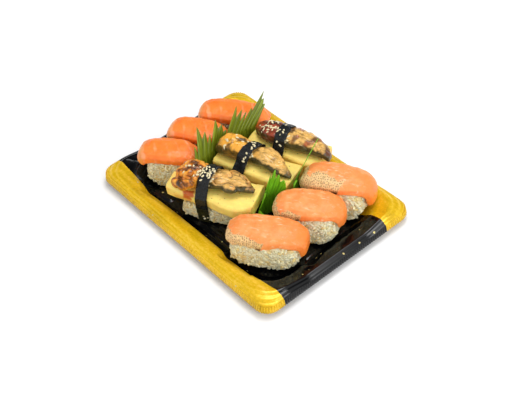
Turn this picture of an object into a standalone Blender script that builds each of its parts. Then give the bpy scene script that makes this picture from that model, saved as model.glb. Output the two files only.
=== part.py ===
"""A takeaway sushi tray with nine nigiri and its grass dividers, as closed solids.

Sizes below are in millimetres and the meshes are made in metres. The long side runs along X,
the front long side faces -Y, and the floor pan stands on z = 0. Three rows of three nigiri lie
aslant: raw salmon at -X, egg with eel in the middle and seared salmon at +X.
"""

import math
from collections import namedtuple

import bpy
import numpy as np
from mathutils import Vector, noise

MM = 0.001
GAP = 0.4
# Edges sharper than this many degrees stay crisp when shaded: on soft food, and on formed shapes.
SOFT_EDGE = 60.0
FORMED_EDGE = 30.0

# Tray: a thin formed sheet. A ring of its profile has an inset from the outer edge, a height, the
# radius of its corners, and how much of a bay's depth it takes.
TRAY_HALF_X = 107.0
TRAY_HALF_Y = 76.5
SHEET = 0.8
Ring = namedtuple("Ring", "inset height corner bay")
TRAY_PROFILE = (
    Ring(0.0, 5.4, 11.8, 0.0),
    Ring(1.0, 9.4, 11.8, 0.0),
    Ring(2.2, 12.2, 13.0, 0.0),
    Ring(3.2, 14.2, 17.0, 0.0),
    Ring(4.8, 15.0, 20.0, 0.0),
    Ring(6.6, 14.5, 20.0, 0.0),
    Ring(12.0, 13.0, 20.0, 0.25),
    Ring(16.0, 10.9, 21.0, 0.8),
    Ring(21.0, 5.0, 20.0, 1.0),
    Ring(25.5, 1.3, 18.0, 1.0),
    Ring(27.0, SHEET, 17.0, 1.0),
)
CORNER_STEPS = 4
LONG_STEPS = 18
SHORT_STEPS = 8
# A bay is a stretch of wall pressed out, deepest just past its start, as one goes round the tray
# anticlockwise. It closes again over its reach.
Bay = namedtuple("Bay", "start depth reach")
LONG_BAYS = (Bay(-66.0, 6.0, 28.0), Bay(36.0, 6.0, 24.0))
SHORT_BAYS = (Bay(-20.0, 5.0, 20.0),)
BAY_EDGE = 2.5
CREST_RING = 4
RICE_WALL_CLEAR = 4.4
BAND_WALL_CLEAR = 2.6

# Where a nigiri lies: the centre of its base, the angle of its long axis, how much higher its
# left end stands than its right end, its length and height beside the usual, and its own seed.
Place = namedtuple("Place", "x y yaw lift stretch tall seed")
SALMON_PLACES = (
    Place(-65.0, -31.2, 37.0, 1.0, 0.76, 1.06, 1),
    Place(-69.0, 2.0, 31.0, 1.0, 0.76, 1.02, 2),
    Place(-66.0, 39.5, 33.0, 1.0, 0.98, 1.0, 3),
)
EGG_PLACES = (
    Place(-8.8, -29.8, 28.0, 0.0, 1.0, 1.0, 4),
    Place(-5.0, 11.2, 21.0, 0.0, 0.93, 1.0, 5),
    Place(-3.9, 44.2, 21.0, 0.0, 0.89, 1.0, 6),
)
TORCHED_PLACES = (
    Place(58.5, -33.5, 35.0, 0.0, 1.04, 1.06, 7),
    Place(61.0, 8.5, 31.0, 0.0, 0.89, 1.08, 8),
    Place(57.4, 42.8, 26.0, 0.0, 0.94, 1.16, 9),
)
LIFT_LENGTH = 60.0
LIFT_HEIGHT = 25.0
FLOOR = SHEET + GAP

# Rice is a rounded block, flat where it lies. Its boxiness is 1 for an ellipsoid, 0 for a box.
Block = namedtuple("Block", "length width height")
SALMON_RICE = Block(50.0, 24.5, 28.0)
EGG_RICE = Block(52.0, 28.0, 14.5)
TORCHED_RICE = Block(52.0, 29.0, 26.5)
RICE_WAIST = 0.45
RICE_BOXINESS = 0.55
RICE_AROUND = 18
RICE_LEVELS = (0.0, 26.0, 52.0, 76.0)
# The foot's rings below the waist: how far up to it, the reach and the boxiness.
Foot = namedtuple("Foot", "share reach boxiness")
RICE_FEET = (Foot(0.0, 0.95, 0.38), Foot(0.35, 0.99, 0.38), Foot(0.8, 1.0, 0.52))
LUMP = 0.4
LUMP_SIZE = 8.0
SEED_SHIFT = (17.0, 5.0)

# A fish slice is a sheet laid over its rice. Its reaches run from the top of the block towards
# each end and side, in quarter turns: 1 comes down to the block's waist.
Slice = namedtuple("Slice", "thickness left right near far overhang askew")
SALMON_SLICE = Slice(5.5, 0.8, 0.75, 0.62, 0.62, 3.0, 0.0)
TORCHED_SLICES = (
    Slice(5.5, 0.62, 0.98, 0.56, 0.62, 1.0, 0.1),
    Slice(5.5, 0.7, 0.98, 0.6, 0.62, 1.0, 0.28),
    Slice(5.5, 0.75, 1.0, 0.58, 0.62, 1.0, 0.26),
)
SLICE_LONG = 12
SLICE_ACROSS = 8
SLICE_EDGE_THIN = 0.7
SLICE_END_THIN = 0.6
SLICE_LUMP = 0.5
SLICE_LUMP_SIZE = 14.0
SLICE_SEED = 20
HANG = 12.0

# An egg slab narrows towards its left end and sags towards both. Its near side stands out by its
# own widths, spaced evenly from the left end to the right.
SLAB_HALF_LENGTH = 38.0
SLAB_HALF_WIDTH = (9.5, 15.0)
SLAB_NEAR_WIDTHS = (
    (9.5, 12.0, 13.5, 14.5, 18.5, 20.0, 15.5),
    (9.5, 10.5, 11.5, 12.5, 13.5, 14.5, 15.0),
    (9.5, 10.5, 11.5, 12.5, 13.5, 14.5, 15.0),
)
SLAB_THICKNESS = 11.0
SLAB_SAG = 0.8
SLAB_ROUND = 1.8
SLAB_END = 34.0

# An eel fillet over a slab, as stations along it.
Station = namedtuple("Station", "along across half_width bottom thickness")
EEL_FILLETS = (
    (
        Station(-30.5, 1.5, 5.0, 0.0, 7.0),
        Station(-26.5, 1.0, 10.5, 0.0, 14.5),
        Station(-19.0, 1.0, 13.0, 0.0, 18.5),
        Station(-11.0, 1.5, 12.0, 0.0, 16.5),
        Station(-3.0, 2.5, 10.5, 0.0, 13.0),
        Station(5.0, 4.0, 9.5, 0.0, 11.0),
        Station(14.0, 5.0, 10.0, 0.8, 10.0),
        Station(24.0, 4.0, 8.0, 1.5, 8.0),
        Station(31.0, 2.5, 4.5, 1.5, 5.0),
        Station(35.0, 1.5, 1.8, 1.5, 3.0),
    ),
    (
        Station(-39.5, 3.0, 4.0, 0.5, 6.0),
        Station(-36.0, 4.0, 8.0, 0.4, 12.0),
        Station(-31.0, 5.0, 10.5, 0.4, 15.0),
        Station(-24.0, 5.0, 11.5, 0.3, 15.5),
        Station(-13.0, 5.0, 10.0, 0.0, 13.0),
        Station(-2.0, 5.0, 8.5, 0.0, 10.0),
        Station(9.0, 5.0, 10.0, 0.6, 11.0),
        Station(19.0, 2.0, 9.5, 1.0, 9.0),
        Station(29.0, -2.0, 6.0, 0.8, 6.0),
        Station(37.0, -4.0, 1.8, 0.5, 2.5),
    ),
    (
        Station(-35.0, 8.0, 4.0, 0.3, 4.5),
        Station(-30.0, 6.5, 8.0, 0.3, 8.5),
        Station(-22.0, 4.5, 10.5, 0.3, 12.0),
        Station(-12.0, 3.0, 11.0, 0.3, 13.0),
        Station(-2.0, 2.0, 10.0, 0.3, 13.0),
        Station(9.0, 2.0, 10.5, 0.5, 13.5),
        Station(20.0, 2.0, 10.0, 0.8, 12.5),
        Station(31.0, 1.5, 8.0, 0.8, 10.5),
        Station(39.0, 0.0, 6.0, 0.6, 8.5),
        Station(45.5, -2.0, 3.5, -1.5, 6.0),
    ),
)
EEL_AROUND = 10
EEL_BOXINESS = 0.8
EEL_WAIST = 0.35

# The dried seaweed round each egg nigiri: its middle along the slab, how far it slants, its width
# and its thickness.
BAND_ALONG = (-2.0, -6.0, -2.0)
BAND_SLANT = (0.16, 0.26, 0.0)
BAND_WIDTH = 10.5
BAND_THICKNESS = 0.5
BAND_CLEAR = 1.1
BAND_STEP = (1.8, 5.0)
BAND_CUTS = 7
BAND_AROUND = 12

# Grass dividers: thin sheets with a row of spiked peaks. Each stands upright on its foot line up
# to the knee, then leans so that it would meet its top line at the full height. The two lines are
# curves with these control points.
Divider = namedtuple("Divider", "foot top knee peaks")
DIVIDERS = {
    "divider_left": Divider(
        ((-36.0, -26.5), (-42.0, -8.0), (-43.5, 8.0), (-46.0, 24.0), (-39.3, 40.5)),
        ((-48.0, -20.0), (-51.0, 3.0), (-48.0, 23.0), (-49.0, 46.0), (-42.5, 69.0)),
        28.0,
        (53.0, 50.0, 51.0, 50.0),
    ),
    "divider_right_front": Divider(
        ((36.5, -23.0), (16.0, -8.0), (28.0, 7.0)),
        ((61.0, -8.0), (-6.0, 12.0), (50.0, 9.5)),
        15.0,
        (37.0, 44.0),
    ),
    "divider_right_back": Divider(
        ((38.5, 13.8), (33.5, 15.5), (30.5, 25.5)),
        ((36.5, 36.0), (34.0, 38.0), (32.0, 42.0)),
        28.0,
        (58.0,),
    ),
}
DIVIDER_TOP = 50.0
DIVIDER_SHOULDER = 24.0
DIVIDER_VALLEY = 27.0
# One peak of the upper edge: each spike's share of the peak's height and width, and how far up the
# valley after it reaches.
Spike = namedtuple("Spike", "height width valley")
PEAK_SPIKES = (
    Spike(0.7, 0.14, 0.64),
    Spike(1.0, 0.3, 0.76),
    Spike(0.88, 0.24, 0.7),
    Spike(0.78, 0.19, 0.6),
    Spike(0.66, 0.13, 0.0),
)
TIP_PLACE = 0.35
DIVIDER_THICKNESS = 0.35


def material(name, colour, roughness, metallic=0.0):
    """A Principled material with one colour."""
    made = bpy.data.materials.new(name)
    made.use_nodes = True
    shader = made.node_tree.nodes["Principled BSDF"]
    shader.inputs["Base Color"].default_value = (*colour, 1.0)
    shader.inputs["Roughness"].default_value = roughness
    shader.inputs["Metallic"].default_value = metallic
    made.diffuse_color = (*colour, 1.0)
    return made


def mesh_object(name, points, faces, finish, sharp=SOFT_EDGE):
    """An object from points in millimetres."""
    mesh = bpy.data.meshes.new(name)
    mesh.from_pydata([tuple(MM * float(value) for value in point) for point in points], [], faces)
    mesh.validate()
    mesh.shade_smooth()
    mesh.set_sharp_from_angle(angle=math.radians(sharp))
    mesh.materials.append(finish)
    made = bpy.data.objects.new(name, mesh)
    bpy.context.scene.collection.objects.link(made)
    return made


def tube_faces(rings, around):
    """Faces of a closed solid whose rings follow each other, with its two ends capped."""
    faces = [
        (
            level * around + step,
            level * around + (step + 1) % around,
            (level + 1) * around + (step + 1) % around,
            (level + 1) * around + step,
        )
        for level in range(rings - 1)
        for step in range(around)
    ]
    first = tuple(reversed(range(around)))
    last = tuple(range((rings - 1) * around, rings * around))
    return [*faces, first, last]


def sheet_faces(rows, columns):
    """Faces of a closed solid between an upper and a lower grid of points, joined at their rim."""
    lower = rows * columns
    faces = []
    for row in range(rows - 1):
        for column in range(columns - 1):
            corner = row * columns + column
            quad = (corner, corner + columns, corner + columns + 1, corner + 1)
            faces.append(quad)
            faces.append(tuple(lower + index for index in reversed(quad)))
    rim = [row * columns for row in range(rows)]
    rim += [(rows - 1) * columns + column for column in range(1, columns)]
    rim += [row * columns + columns - 1 for row in range(rows - 2, -1, -1)]
    rim += list(range(columns - 2, 0, -1))
    for here, after in zip(rim, rim[1:] + rim[:1]):
        faces.append((after, here, lower + here, lower + after))
    return faces


def powered(values, power):
    """Values raised to a power with their signs kept."""
    return np.sign(values) * np.abs(values) ** power


def lumps(points, size, seed):
    """Smooth unevenness from -1 to 1 at each point."""
    shift = seed * Vector((*SEED_SHIFT, 0.0))
    return np.array([noise.noise(Vector(point) / size + shift) for point in points])


def bay_depth(position, bays):
    """How far the wall stands out at a place along a side."""
    depth = 0.0
    for bay in bays:
        past = position - bay.start
        opened = 0.5 * (1.0 + math.tanh(past / BAY_EDGE))
        depth += bay.depth * opened * math.exp(-max(0.0, past) / bay.reach)
    return depth


def settled(points, clear):
    """Points moved in where they would reach into the tray's wall, as soft food lies against it."""
    wall = TRAY_PROFILE[CREST_RING:][::-1]
    heights, insets, shares, corners = (
        [getattr(ring, field) for ring in wall] for field in ("height", "inset", "bay", "corner")
    )
    for point in points:
        height = point[2] - GAP
        if height > heights[-1]:
            continue
        inset = clear + np.interp(height, heights, insets)
        share = np.interp(height, heights, shares)
        radius = np.interp(height, heights, corners)
        x, y = point[:2]
        half_x = TRAY_HALF_X - inset + share * bay_depth(math.copysign(y, x * y), SHORT_BAYS)
        half_y = TRAY_HALF_Y - inset + share * bay_depth(-math.copysign(x, x * y), LONG_BAYS)
        past_x = min(abs(x), half_x) - (half_x - radius)
        past_y = min(abs(y), half_y) - (half_y - radius)
        shrink = 1.0
        if past_x > 0 and past_y > 0:
            shrink = min(1.0, radius / math.hypot(past_x, past_y))
        point[0] = math.copysign(half_x - radius + past_x * shrink, x)
        point[1] = math.copysign(half_y - radius + past_y * shrink, y)
    return points


def placed(points, place):
    """Points of a nigiri's own frame where it lies in the tray."""
    points = np.array(points, float)
    share = -points[:, 0] / LIFT_LENGTH * np.clip(points[:, 2] / LIFT_HEIGHT, 0.0, 1.2)
    points[:, 2] += place.lift * share
    yaw = math.radians(place.yaw)
    x = place.x + points[:, 0] * math.cos(yaw) - points[:, 1] * math.sin(yaw)
    y = place.y + points[:, 0] * math.sin(yaw) + points[:, 1] * math.cos(yaw)
    return np.stack([x, y, FLOOR + points[:, 2]], axis=1)


def tray_ring(inset, height, corner, bay):
    """One closed ring round the tray, anticlockwise from the front right corner's end."""
    half_x = TRAY_HALF_X - inset
    half_y = TRAY_HALF_Y - inset
    points = []
    for turn in range(4):
        along_x = turn % 2 == 1
        half = half_x if along_x else half_y
        far = half_y if along_x else half_x
        steps = LONG_STEPS if along_x else SHORT_STEPS
        bays = LONG_BAYS if along_x else SHORT_BAYS
        cosine, sine = round(math.cos(turn * math.pi / 2)), round(math.sin(turn * math.pi / 2))
        side = [(far, value) for value in np.linspace(corner - half, half - corner, steps + 1)]
        side = [(x + bay * bay_depth(y, bays), y) for x, y in side]
        for step in range(1, CORNER_STEPS):
            angle = step / CORNER_STEPS * math.pi / 2
            x = far - corner + corner * math.cos(angle)
            side.append((x, half - corner + corner * math.sin(angle)))
        points += [(x * cosine - y * sine, x * sine + y * cosine, height) for x, y in side]
    return points


def profile_normals(profile):
    """The direction square to the profile at each of its rings, towards its underside."""
    heights = np.array([[ring.inset, ring.height] for ring in profile])
    tangents = np.gradient(heights, axis=0)
    normals = np.stack([tangents[:, 1], -tangents[:, 0]], axis=1)
    return normals / np.linalg.norm(normals, axis=1)[:, None]


def build_tray():
    """The formed sheet: its upper face from the skirt's edge to the floor, then its underside."""
    rings = [tray_ring(*ring) for ring in TRAY_PROFILE]
    under = []
    for ring, normal in zip(TRAY_PROFILE, profile_normals(TRAY_PROFILE)):
        height = max(0.0, ring.height + SHEET * normal[1])
        under.append(tray_ring(ring.inset + SHEET * normal[0], height, ring.corner, ring.bay))
    under[0] = tray_ring(TRAY_PROFILE[0].inset + SHEET, *TRAY_PROFILE[0][1:])
    around = len(rings[0])
    points = [point for ring in rings for point in ring]
    points += [point for ring in under for point in ring]
    count = len(rings)
    faces = []
    for first, flip in ((0, False), (count, True)):
        for level in range(first, first + count - 1):
            for step in range(around):
                after = (step + 1) % around
                quad = (
                    level * around + step,
                    level * around + after,
                    (level + 1) * around + after,
                    (level + 1) * around + step,
                )
                faces.append(tuple(reversed(quad)) if flip else quad)
    for step in range(around):
        after = (step + 1) % around
        faces.append((after, step, count * around + step, count * around + after))
    faces.append(tuple(range((count - 1) * around, count * around)))
    faces.append(tuple(reversed(range((2 * count - 1) * around, 2 * count * around))))
    return mesh_object("tray", points, faces, FINISHES["tray"], FORMED_EDGE)


def sized(block, place):
    """A block with the length and height of the nigiri at a place."""
    return Block(block.length * place.stretch, block.width, block.height * place.tall)


def build_rice(name, block, place):
    """A pressed block of rice out to its uneven outline."""
    block = sized(block, place)
    waist = RICE_WAIST * block.height
    longitude = np.linspace(0.0, 2.0 * math.pi, RICE_AROUND, endpoint=False)
    levels = [(foot.share * waist, foot.reach, foot.boxiness) for foot in RICE_FEET]
    for level in RICE_LEVELS:
        latitude = math.radians(level)
        rise = (block.height - waist) * math.sin(latitude) ** RICE_BOXINESS
        levels.append((waist + rise, math.cos(latitude) ** RICE_BOXINESS, RICE_BOXINESS))
    rings = []
    for height, reach, boxiness in levels:
        x = block.length / 2 * reach * powered(np.cos(longitude), boxiness)
        y = block.width / 2 * reach * powered(np.sin(longitude), boxiness)
        rings.append(np.stack([x, y, np.full_like(x, height)], axis=1))
    points = np.concatenate(rings)
    swell = 1.0 + LUMP * lumps(points, LUMP_SIZE, place.seed) / (block.width / 2)
    points[:, :2] *= swell[:, None]
    faces = tube_faces(len(rings), RICE_AROUND)
    points = settled(placed(points, place), RICE_WALL_CLEAR)
    return mesh_object(name, points, faces, FINISHES["rice"])


def draped(block, reaches, offset):
    """Points of a grid laid over a block, an offset away from it.

    Each point's two coordinates are turned into a distance from the top in quarter turns and a
    direction, so the sheet rounds the block's edges and hangs straight down past its waist.
    """
    waist = RICE_WAIST * block.height
    along = np.linspace(-reaches.left, reaches.right, SLICE_LONG)
    across = np.linspace(-reaches.near, reaches.far, SLICE_ACROSS)
    u, v = np.meshgrid(along, across, indexing="ij")
    v = v + reaches.askew * u
    distance = (np.abs(u) ** 3 + np.abs(v) ** 3) ** (1 / 3)
    distance = np.maximum(distance, 1e-6)
    turn = np.minimum(distance, 1.0) * math.pi / 2
    reach = np.sin(turn) ** RICE_BOXINESS
    x = (block.length / 2 + reaches.overhang + offset) * u / distance * reach
    y = (block.width / 2 + offset) * v / distance * reach
    z = waist + (block.height - waist + offset) * np.cos(turn) ** RICE_BOXINESS
    z -= np.maximum(distance - 1.0, 0.0) * HANG
    return np.stack([x, y, z], axis=2).reshape(-1, 3)


def build_slice(name, block, reaches, place, finish):
    """A slice of fish draped over its rice."""
    rest = GAP + LUMP
    block = sized(block, place)
    low = draped(block, reaches, rest)
    high = draped(block, reaches, rest + reaches.thickness)
    u = np.abs(np.linspace(-1.0, 1.0, SLICE_LONG))[:, None]
    v = np.abs(np.linspace(-1.0, 1.0, SLICE_ACROSS))[None, :]
    edge = np.maximum(SLICE_END_THIN * u, v).reshape(-1, 1) ** 3
    high = low + (high - low) * (1.0 - SLICE_EDGE_THIN * edge)
    high[:, 2] += SLICE_LUMP * lumps(high, SLICE_LUMP_SIZE, place.seed + SLICE_SEED)
    faces = sheet_faces(SLICE_LONG, SLICE_ACROSS)
    return mesh_object(name, placed(np.concatenate([high, low]), place), faces, finish)


def rounded_section(near, far, low, high, radius):
    """A rectangle with cut corners, anticlockwise as seen from its left end."""
    return [
        (far, low + radius),
        (far, high - radius),
        (far - radius, high),
        (radius - near, high),
        (-near, high - radius),
        (-near, low + radius),
        (radius - near, low),
        (far - radius, low),
    ]


def slab_height(along):
    """The top of an egg slab above the floor at a place along it."""
    sag = SLAB_SAG * (along / SLAB_HALF_LENGTH) ** 2
    return EGG_RICE.height + GAP + LUMP + SLAB_SAG + SLAB_THICKNESS - sag


def build_slab(name, near_widths, place):
    """A slice of rolled omelette on its rice."""
    rings = []
    stations = np.linspace(-SLAB_HALF_LENGTH, SLAB_HALF_LENGTH, len(near_widths))
    for near, along in zip(near_widths, stations):
        far = np.interp(along, stations[[0, -1]], SLAB_HALF_WIDTH)
        high = slab_height(along)
        low = high - SLAB_THICKNESS
        section = rounded_section(near, far, low, high, SLAB_ROUND)
        rings.append([(along * place.stretch, y, z) for y, z in section])
    points = np.array([point for ring in rings for point in ring])
    faces = tube_faces(len(rings), len(rings[0]))
    return mesh_object(name, placed(points, place), faces, FINISHES["egg"], FORMED_EDGE)


def build_eel(name, stations, place):
    """A grilled fillet lying along the slab, rounded above and flat below."""
    rings = []
    for station in stations:
        floor = slab_height(np.clip(station.along, -SLAB_END, SLAB_END)) + GAP + station.bottom
        for step in range(EEL_AROUND):
            angle = 2.0 * math.pi * step / EEL_AROUND
            y = station.across + station.half_width * powered(math.cos(angle), EEL_BOXINESS)
            rise = powered(math.sin(angle), EEL_BOXINESS)
            share = 1.0 - EEL_WAIST if rise > 0 else EEL_WAIST
            z = floor + station.thickness * (EEL_WAIST + share * rise)
            rings.append((station.along * place.stretch, y, z))
    points = np.array(rings)
    faces = tube_faces(len(stations), EEL_AROUND)
    return mesh_object(name, placed(points, place), faces, FINISHES["eel"])


def hull(points):
    """The convex hull of points in a plane, anticlockwise."""
    ordered = sorted(set(map(tuple, np.round(points, 4))))

    def half(sequence):
        chain = []
        for point in sequence:
            while len(chain) > 1 and cross(chain[-2], chain[-1], point) <= 0:
                chain.pop()
            chain.append(point)
        return chain[:-1]

    return half(ordered) + half(reversed(ordered))


def cross(a, b, c):
    return (b[0] - a[0]) * (c[1] - a[1]) - (b[1] - a[1]) * (c[0] - a[0])


def own_frame(points, place, slant):
    """Points in the tray in a nigiri's own frame, slanted as its band is, with their heights kept."""
    yaw = math.radians(place.yaw)
    dx = points[:, 0] - place.x
    dy = points[:, 1] - place.y
    along = dx * math.cos(yaw) + dy * math.sin(yaw)
    across = -dx * math.sin(yaw) + dy * math.cos(yaw)
    return np.stack([along - slant * across, across, points[:, 2]], axis=1)


def crossings(item, place, slant, cut):
    """Where an object's edges cross an upright plane through the nigiri, as (across, height) pairs."""
    points = np.array([vertex.co[:] for vertex in item.data.vertices]) / MM
    points = own_frame(points, place, slant)
    found = []
    for edge in item.data.edges:
        a, b = points[edge.vertices[0]], points[edge.vertices[1]]
        if (a[0] - cut) * (b[0] - cut) < 0:
            found.append(tuple((a + (b - a) * (cut - a[0]) / (b[0] - a[0]))[1:]))
    return found


def band_path(items, place, along, slant):
    """The line of a band pulled tight round a nigiri, from the floor at the front to the back."""
    grown = []
    for cut in np.linspace(along - BAND_WIDTH / 2, along + BAND_WIDTH / 2, BAND_CUTS):
        for item in items:
            for across, height in crossings(item, place, slant, cut):
                for angle in np.linspace(0.0, 2.0 * math.pi, BAND_AROUND, endpoint=False):
                    grown.append(
                        (across + BAND_CLEAR * math.cos(angle), height + BAND_CLEAR * math.sin(angle))
                    )
    outline = [point for point in hull(grown) if point[1] > FLOOR]
    middle = sum(point[0] for point in outline) / len(outline)
    outline.sort(key=lambda point: math.atan2(middle - point[0], point[1] - FLOOR), reverse=True)
    shortest, longest = BAND_STEP
    kept = [np.array((outline[0][0], FLOOR))]
    for point in [*outline, (outline[-1][0], FLOOR)]:
        start = kept[-1]
        distance = math.dist(point, start)
        if distance > shortest:
            parts = math.ceil(distance / longest)
            kept += [start + (np.array(point) - start) * part / parts for part in range(1, parts + 1)]
    return kept


def build_band(name, items, place, along, slant):
    """A strip of dried seaweed round a nigiri."""
    path = band_path(items, place, along, slant)
    points = []
    for across, height in path:
        for side in (-BAND_WIDTH / 2, BAND_WIDTH / 2):
            points.append((along + side + slant * across, across, height - FLOOR))
    faces = [(2 * row, 2 * row + 2, 2 * row + 3, 2 * row + 1) for row in range(len(path) - 1)]
    points = settled(placed(points, place._replace(lift=0.0)), BAND_WALL_CLEAR)
    made = mesh_object(name, points, faces, FINISHES["seaweed"])
    thicken(made, BAND_THICKNESS)
    return made


def thicken(item, thickness):
    """Gives an open sheet a thickness outwards."""
    modifier = item.modifiers.new("thickness", "SOLIDIFY")
    modifier.thickness = thickness * MM
    modifier.offset = 1.0


def curve_point(controls, share):
    """A point of the Bezier curve with these control points."""
    points = np.array(controls, float)
    while len(points) > 1:
        points = points[:-1] + (points[1:] - points[:-1]) * share
    return points[0]


def build_divider(name, divider):
    """A thin sheet whose upper edge is a row of spikes."""
    columns = [(0.0, DIVIDER_VALLEY)]
    for peak in divider.peaks:
        for spike in PEAK_SPIKES:
            start = columns[-1][0]
            width = spike.width / len(divider.peaks)
            columns.append((start + TIP_PLACE * width, spike.height * peak))
            columns.append((start + width, max(spike.valley * peak, DIVIDER_VALLEY)))

    def point(share, height):
        lean = max(0.0, height - divider.knee) / (DIVIDER_TOP - divider.knee)
        foot = curve_point(divider.foot, share)
        x, y = foot + (curve_point(divider.top, share) - foot) * lean
        return (x, y, FLOOR + height)

    points = [point(share, 0.0) for share, _ in columns]
    points += [point(share, DIVIDER_SHOULDER) for share, _ in columns]
    points += [point(share, height) for share, height in columns]
    count = len(columns)
    faces = [
        (row * count + i, row * count + i + 1, (row + 1) * count + i + 1, (row + 1) * count + i)
        for row in range(2)
        for i in range(count - 1)
    ]
    made = mesh_object(name, points, faces, FINISHES["divider"])
    thicken(made, DIVIDER_THICKNESS)
    return made


FINISHES = {}


def clear_scene():
    for item in list(bpy.data.objects):
        bpy.data.objects.remove(item, do_unlink=True)


def main():
    clear_scene()
    FINISHES["tray"] = material("black and gold plastic", (0.02, 0.02, 0.022), 0.2)
    FINISHES["rice"] = material("white rice", (0.86, 0.85, 0.80), 0.5)
    FINISHES["salmon"] = material("raw salmon", (0.95, 0.28, 0.07), 0.35)
    FINISHES["torched"] = material("seared salmon", (0.93, 0.42, 0.20), 0.35)
    FINISHES["egg"] = material("egg", (0.88, 0.72, 0.28), 0.5)
    FINISHES["eel"] = material("grilled eel", (0.33, 0.15, 0.05), 0.3)
    FINISHES["seaweed"] = material("dried seaweed", (0.012, 0.018, 0.015), 0.35)
    FINISHES["divider"] = material("green divider", (0.10, 0.32, 0.02), 0.4)
    build_tray()
    for number, place in enumerate(SALMON_PLACES, 1):
        build_rice(f"salmon_rice_{number}", SALMON_RICE, place)
        build_slice(f"salmon_slice_{number}", SALMON_RICE, SALMON_SLICE, place, FINISHES["salmon"])
    for number, place in enumerate(TORCHED_PLACES, 1):
        build_rice(f"torched_rice_{number}", TORCHED_RICE, place)
        reaches = TORCHED_SLICES[number - 1]
        build_slice(f"torched_slice_{number}", TORCHED_RICE, reaches, place, FINISHES["torched"])
    for number, place in enumerate(EGG_PLACES, 1):
        rice = build_rice(f"egg_rice_{number}", EGG_RICE, place)
        slab = build_slab(f"egg_slab_{number}", SLAB_NEAR_WIDTHS[number - 1], place)
        eel = build_eel(f"eel_{number}", EEL_FILLETS[number - 1], place)
        along, slant = BAND_ALONG[number - 1], BAND_SLANT[number - 1]
        build_band(f"seaweed_band_{number}", (rice, slab, eel), place, along, slant)
    for name, divider in DIVIDERS.items():
        build_divider(name, divider)


main()
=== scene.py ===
"""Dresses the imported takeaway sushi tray: formed tray, rice grains, fish, egg, eel and dividers.

Sizes are in millimetres and meshes in metres, in the frame's own axes: X along the tray, -Y its
front. Each nigiri has a lie: the middle of its plan and the direction of its long axis. Its
points carry their place in that lie as the attribute "lay", which the food's materials read.
"""

import math
from collections import namedtuple
from contextlib import contextmanager

import bmesh
import bpy
import numpy as np
from bpy.props import FloatProperty, FloatVectorProperty, IntProperty, PointerProperty
from mathutils import Matrix, Vector


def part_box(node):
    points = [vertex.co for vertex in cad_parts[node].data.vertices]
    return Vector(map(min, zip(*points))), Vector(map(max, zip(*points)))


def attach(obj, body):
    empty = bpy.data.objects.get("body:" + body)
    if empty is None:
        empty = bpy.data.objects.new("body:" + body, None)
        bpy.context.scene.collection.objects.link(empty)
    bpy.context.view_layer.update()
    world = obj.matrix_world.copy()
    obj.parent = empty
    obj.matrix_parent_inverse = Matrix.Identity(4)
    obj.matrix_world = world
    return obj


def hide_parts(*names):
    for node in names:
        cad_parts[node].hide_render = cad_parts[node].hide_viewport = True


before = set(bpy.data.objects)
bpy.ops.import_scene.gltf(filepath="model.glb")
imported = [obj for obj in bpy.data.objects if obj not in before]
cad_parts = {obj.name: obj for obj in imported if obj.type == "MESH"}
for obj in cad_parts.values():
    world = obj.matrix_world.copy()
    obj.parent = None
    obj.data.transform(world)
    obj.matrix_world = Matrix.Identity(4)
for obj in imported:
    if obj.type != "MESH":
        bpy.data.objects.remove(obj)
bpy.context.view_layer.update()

bl_info = {
    "name": "Takeaway sushi tray",
    "version": (1, 0, 0),
    "blender": (4, 5, 0),
    "location": "View3D > Sidebar > Sushi",
    "description": "Makes the tray, rice, fish, egg, eel, seaweed, seeds and dividers",
    "category": "Object",
}

MM = 0.001
BODY = "root"
ROWS = (1, 2, 3)


def shade(red, green, blue):
    """A linear colour from a display colour with channels up to 255."""
    return tuple(
        value / 12.92 if value <= 0.04045 else ((value + 0.055) / 1.055) ** 2.4
        for value in (red / 255, green / 255, blue / 255)
    )


def tint(name, use, *channels):
    options = {"subtype": "COLOR", "min": 0.0, "max": 1.0, "default": shade(*channels)}
    return FloatVectorProperty(name=name, description="Colour of " + use, **options)


def extent(name, description, millimetres):
    return FloatProperty(
        name=name, description=description, default=millimetres * MM, min=0.0, unit="LENGTH"
    )


def power(name, description, watts):
    return FloatProperty(name=name, description=description, default=watts, unit="POWER")


def seed(default):
    return IntProperty(name="Seed", description="Seed of the random places", default=default)


# ---------------------------------------------------------------- settings


class TraySettings(bpy.types.PropertyGroup):
    gold: tint("Gold", "the two printed bands", 228, 184, 18)
    black: tint("Black", "the tray between the bands", 4, 5, 7)
    band_front: extent("Front band", "How far in the front gold band reaches", 18.5)
    band_back: extent("Back band", "How far in the back gold band reaches", 28.9)
    flute_pitch: extent("Flute pitch", "Distance between ribs on the skirt", 2.2)
    flute_depth: extent("Flute depth", "How far a rib stands out", 0.45)
    fleck_size: extent("Fleck size", "Distance between gold flecks", 5.5)


class RiceSettings(bpy.types.PropertyGroup):
    colour: tint("Rice", "a cooked grain", 255, 243, 192)
    # Painted shade: the darker, yellower rice in the gaps between grains. Some grains also take it
    # at random.
    gap_shade: tint("Shaded rice", "the rice between the grains", 246, 210, 136)
    grain_length: extent("Grain length", "Length of a cooked grain", 6.0)
    grain_width: extent("Grain width", "Width of a cooked grain", 2.6)
    spacing: extent("Grain spacing", "Least distance between grains", 1.95)
    seed: seed(7)


class FishSettings(bpy.types.PropertyGroup):
    raw: tint("Raw fish", "the raw slices", 252, 124, 30)
    seared: tint("Seared fish", "the seared slices", 252, 148, 74)
    shade_and_dark_patches: tint("Darker seared fish", "the seared slices' right ends", 240, 128, 42)
    # Painted shade on the seared slices' right ends; the same colour gives darker patches at
    # random.
    fat_and_highlight: tint("Fat and highlight", "the pale lines in the fish", 255, 205, 165)
    # The fat's colour also paints highlight streaks on the seared slices.
    skin: tint("Seared skin", "the seared band", 234, 194, 134)
    char: tint("Char", "the burnt dots", 138, 78, 24)


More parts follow.
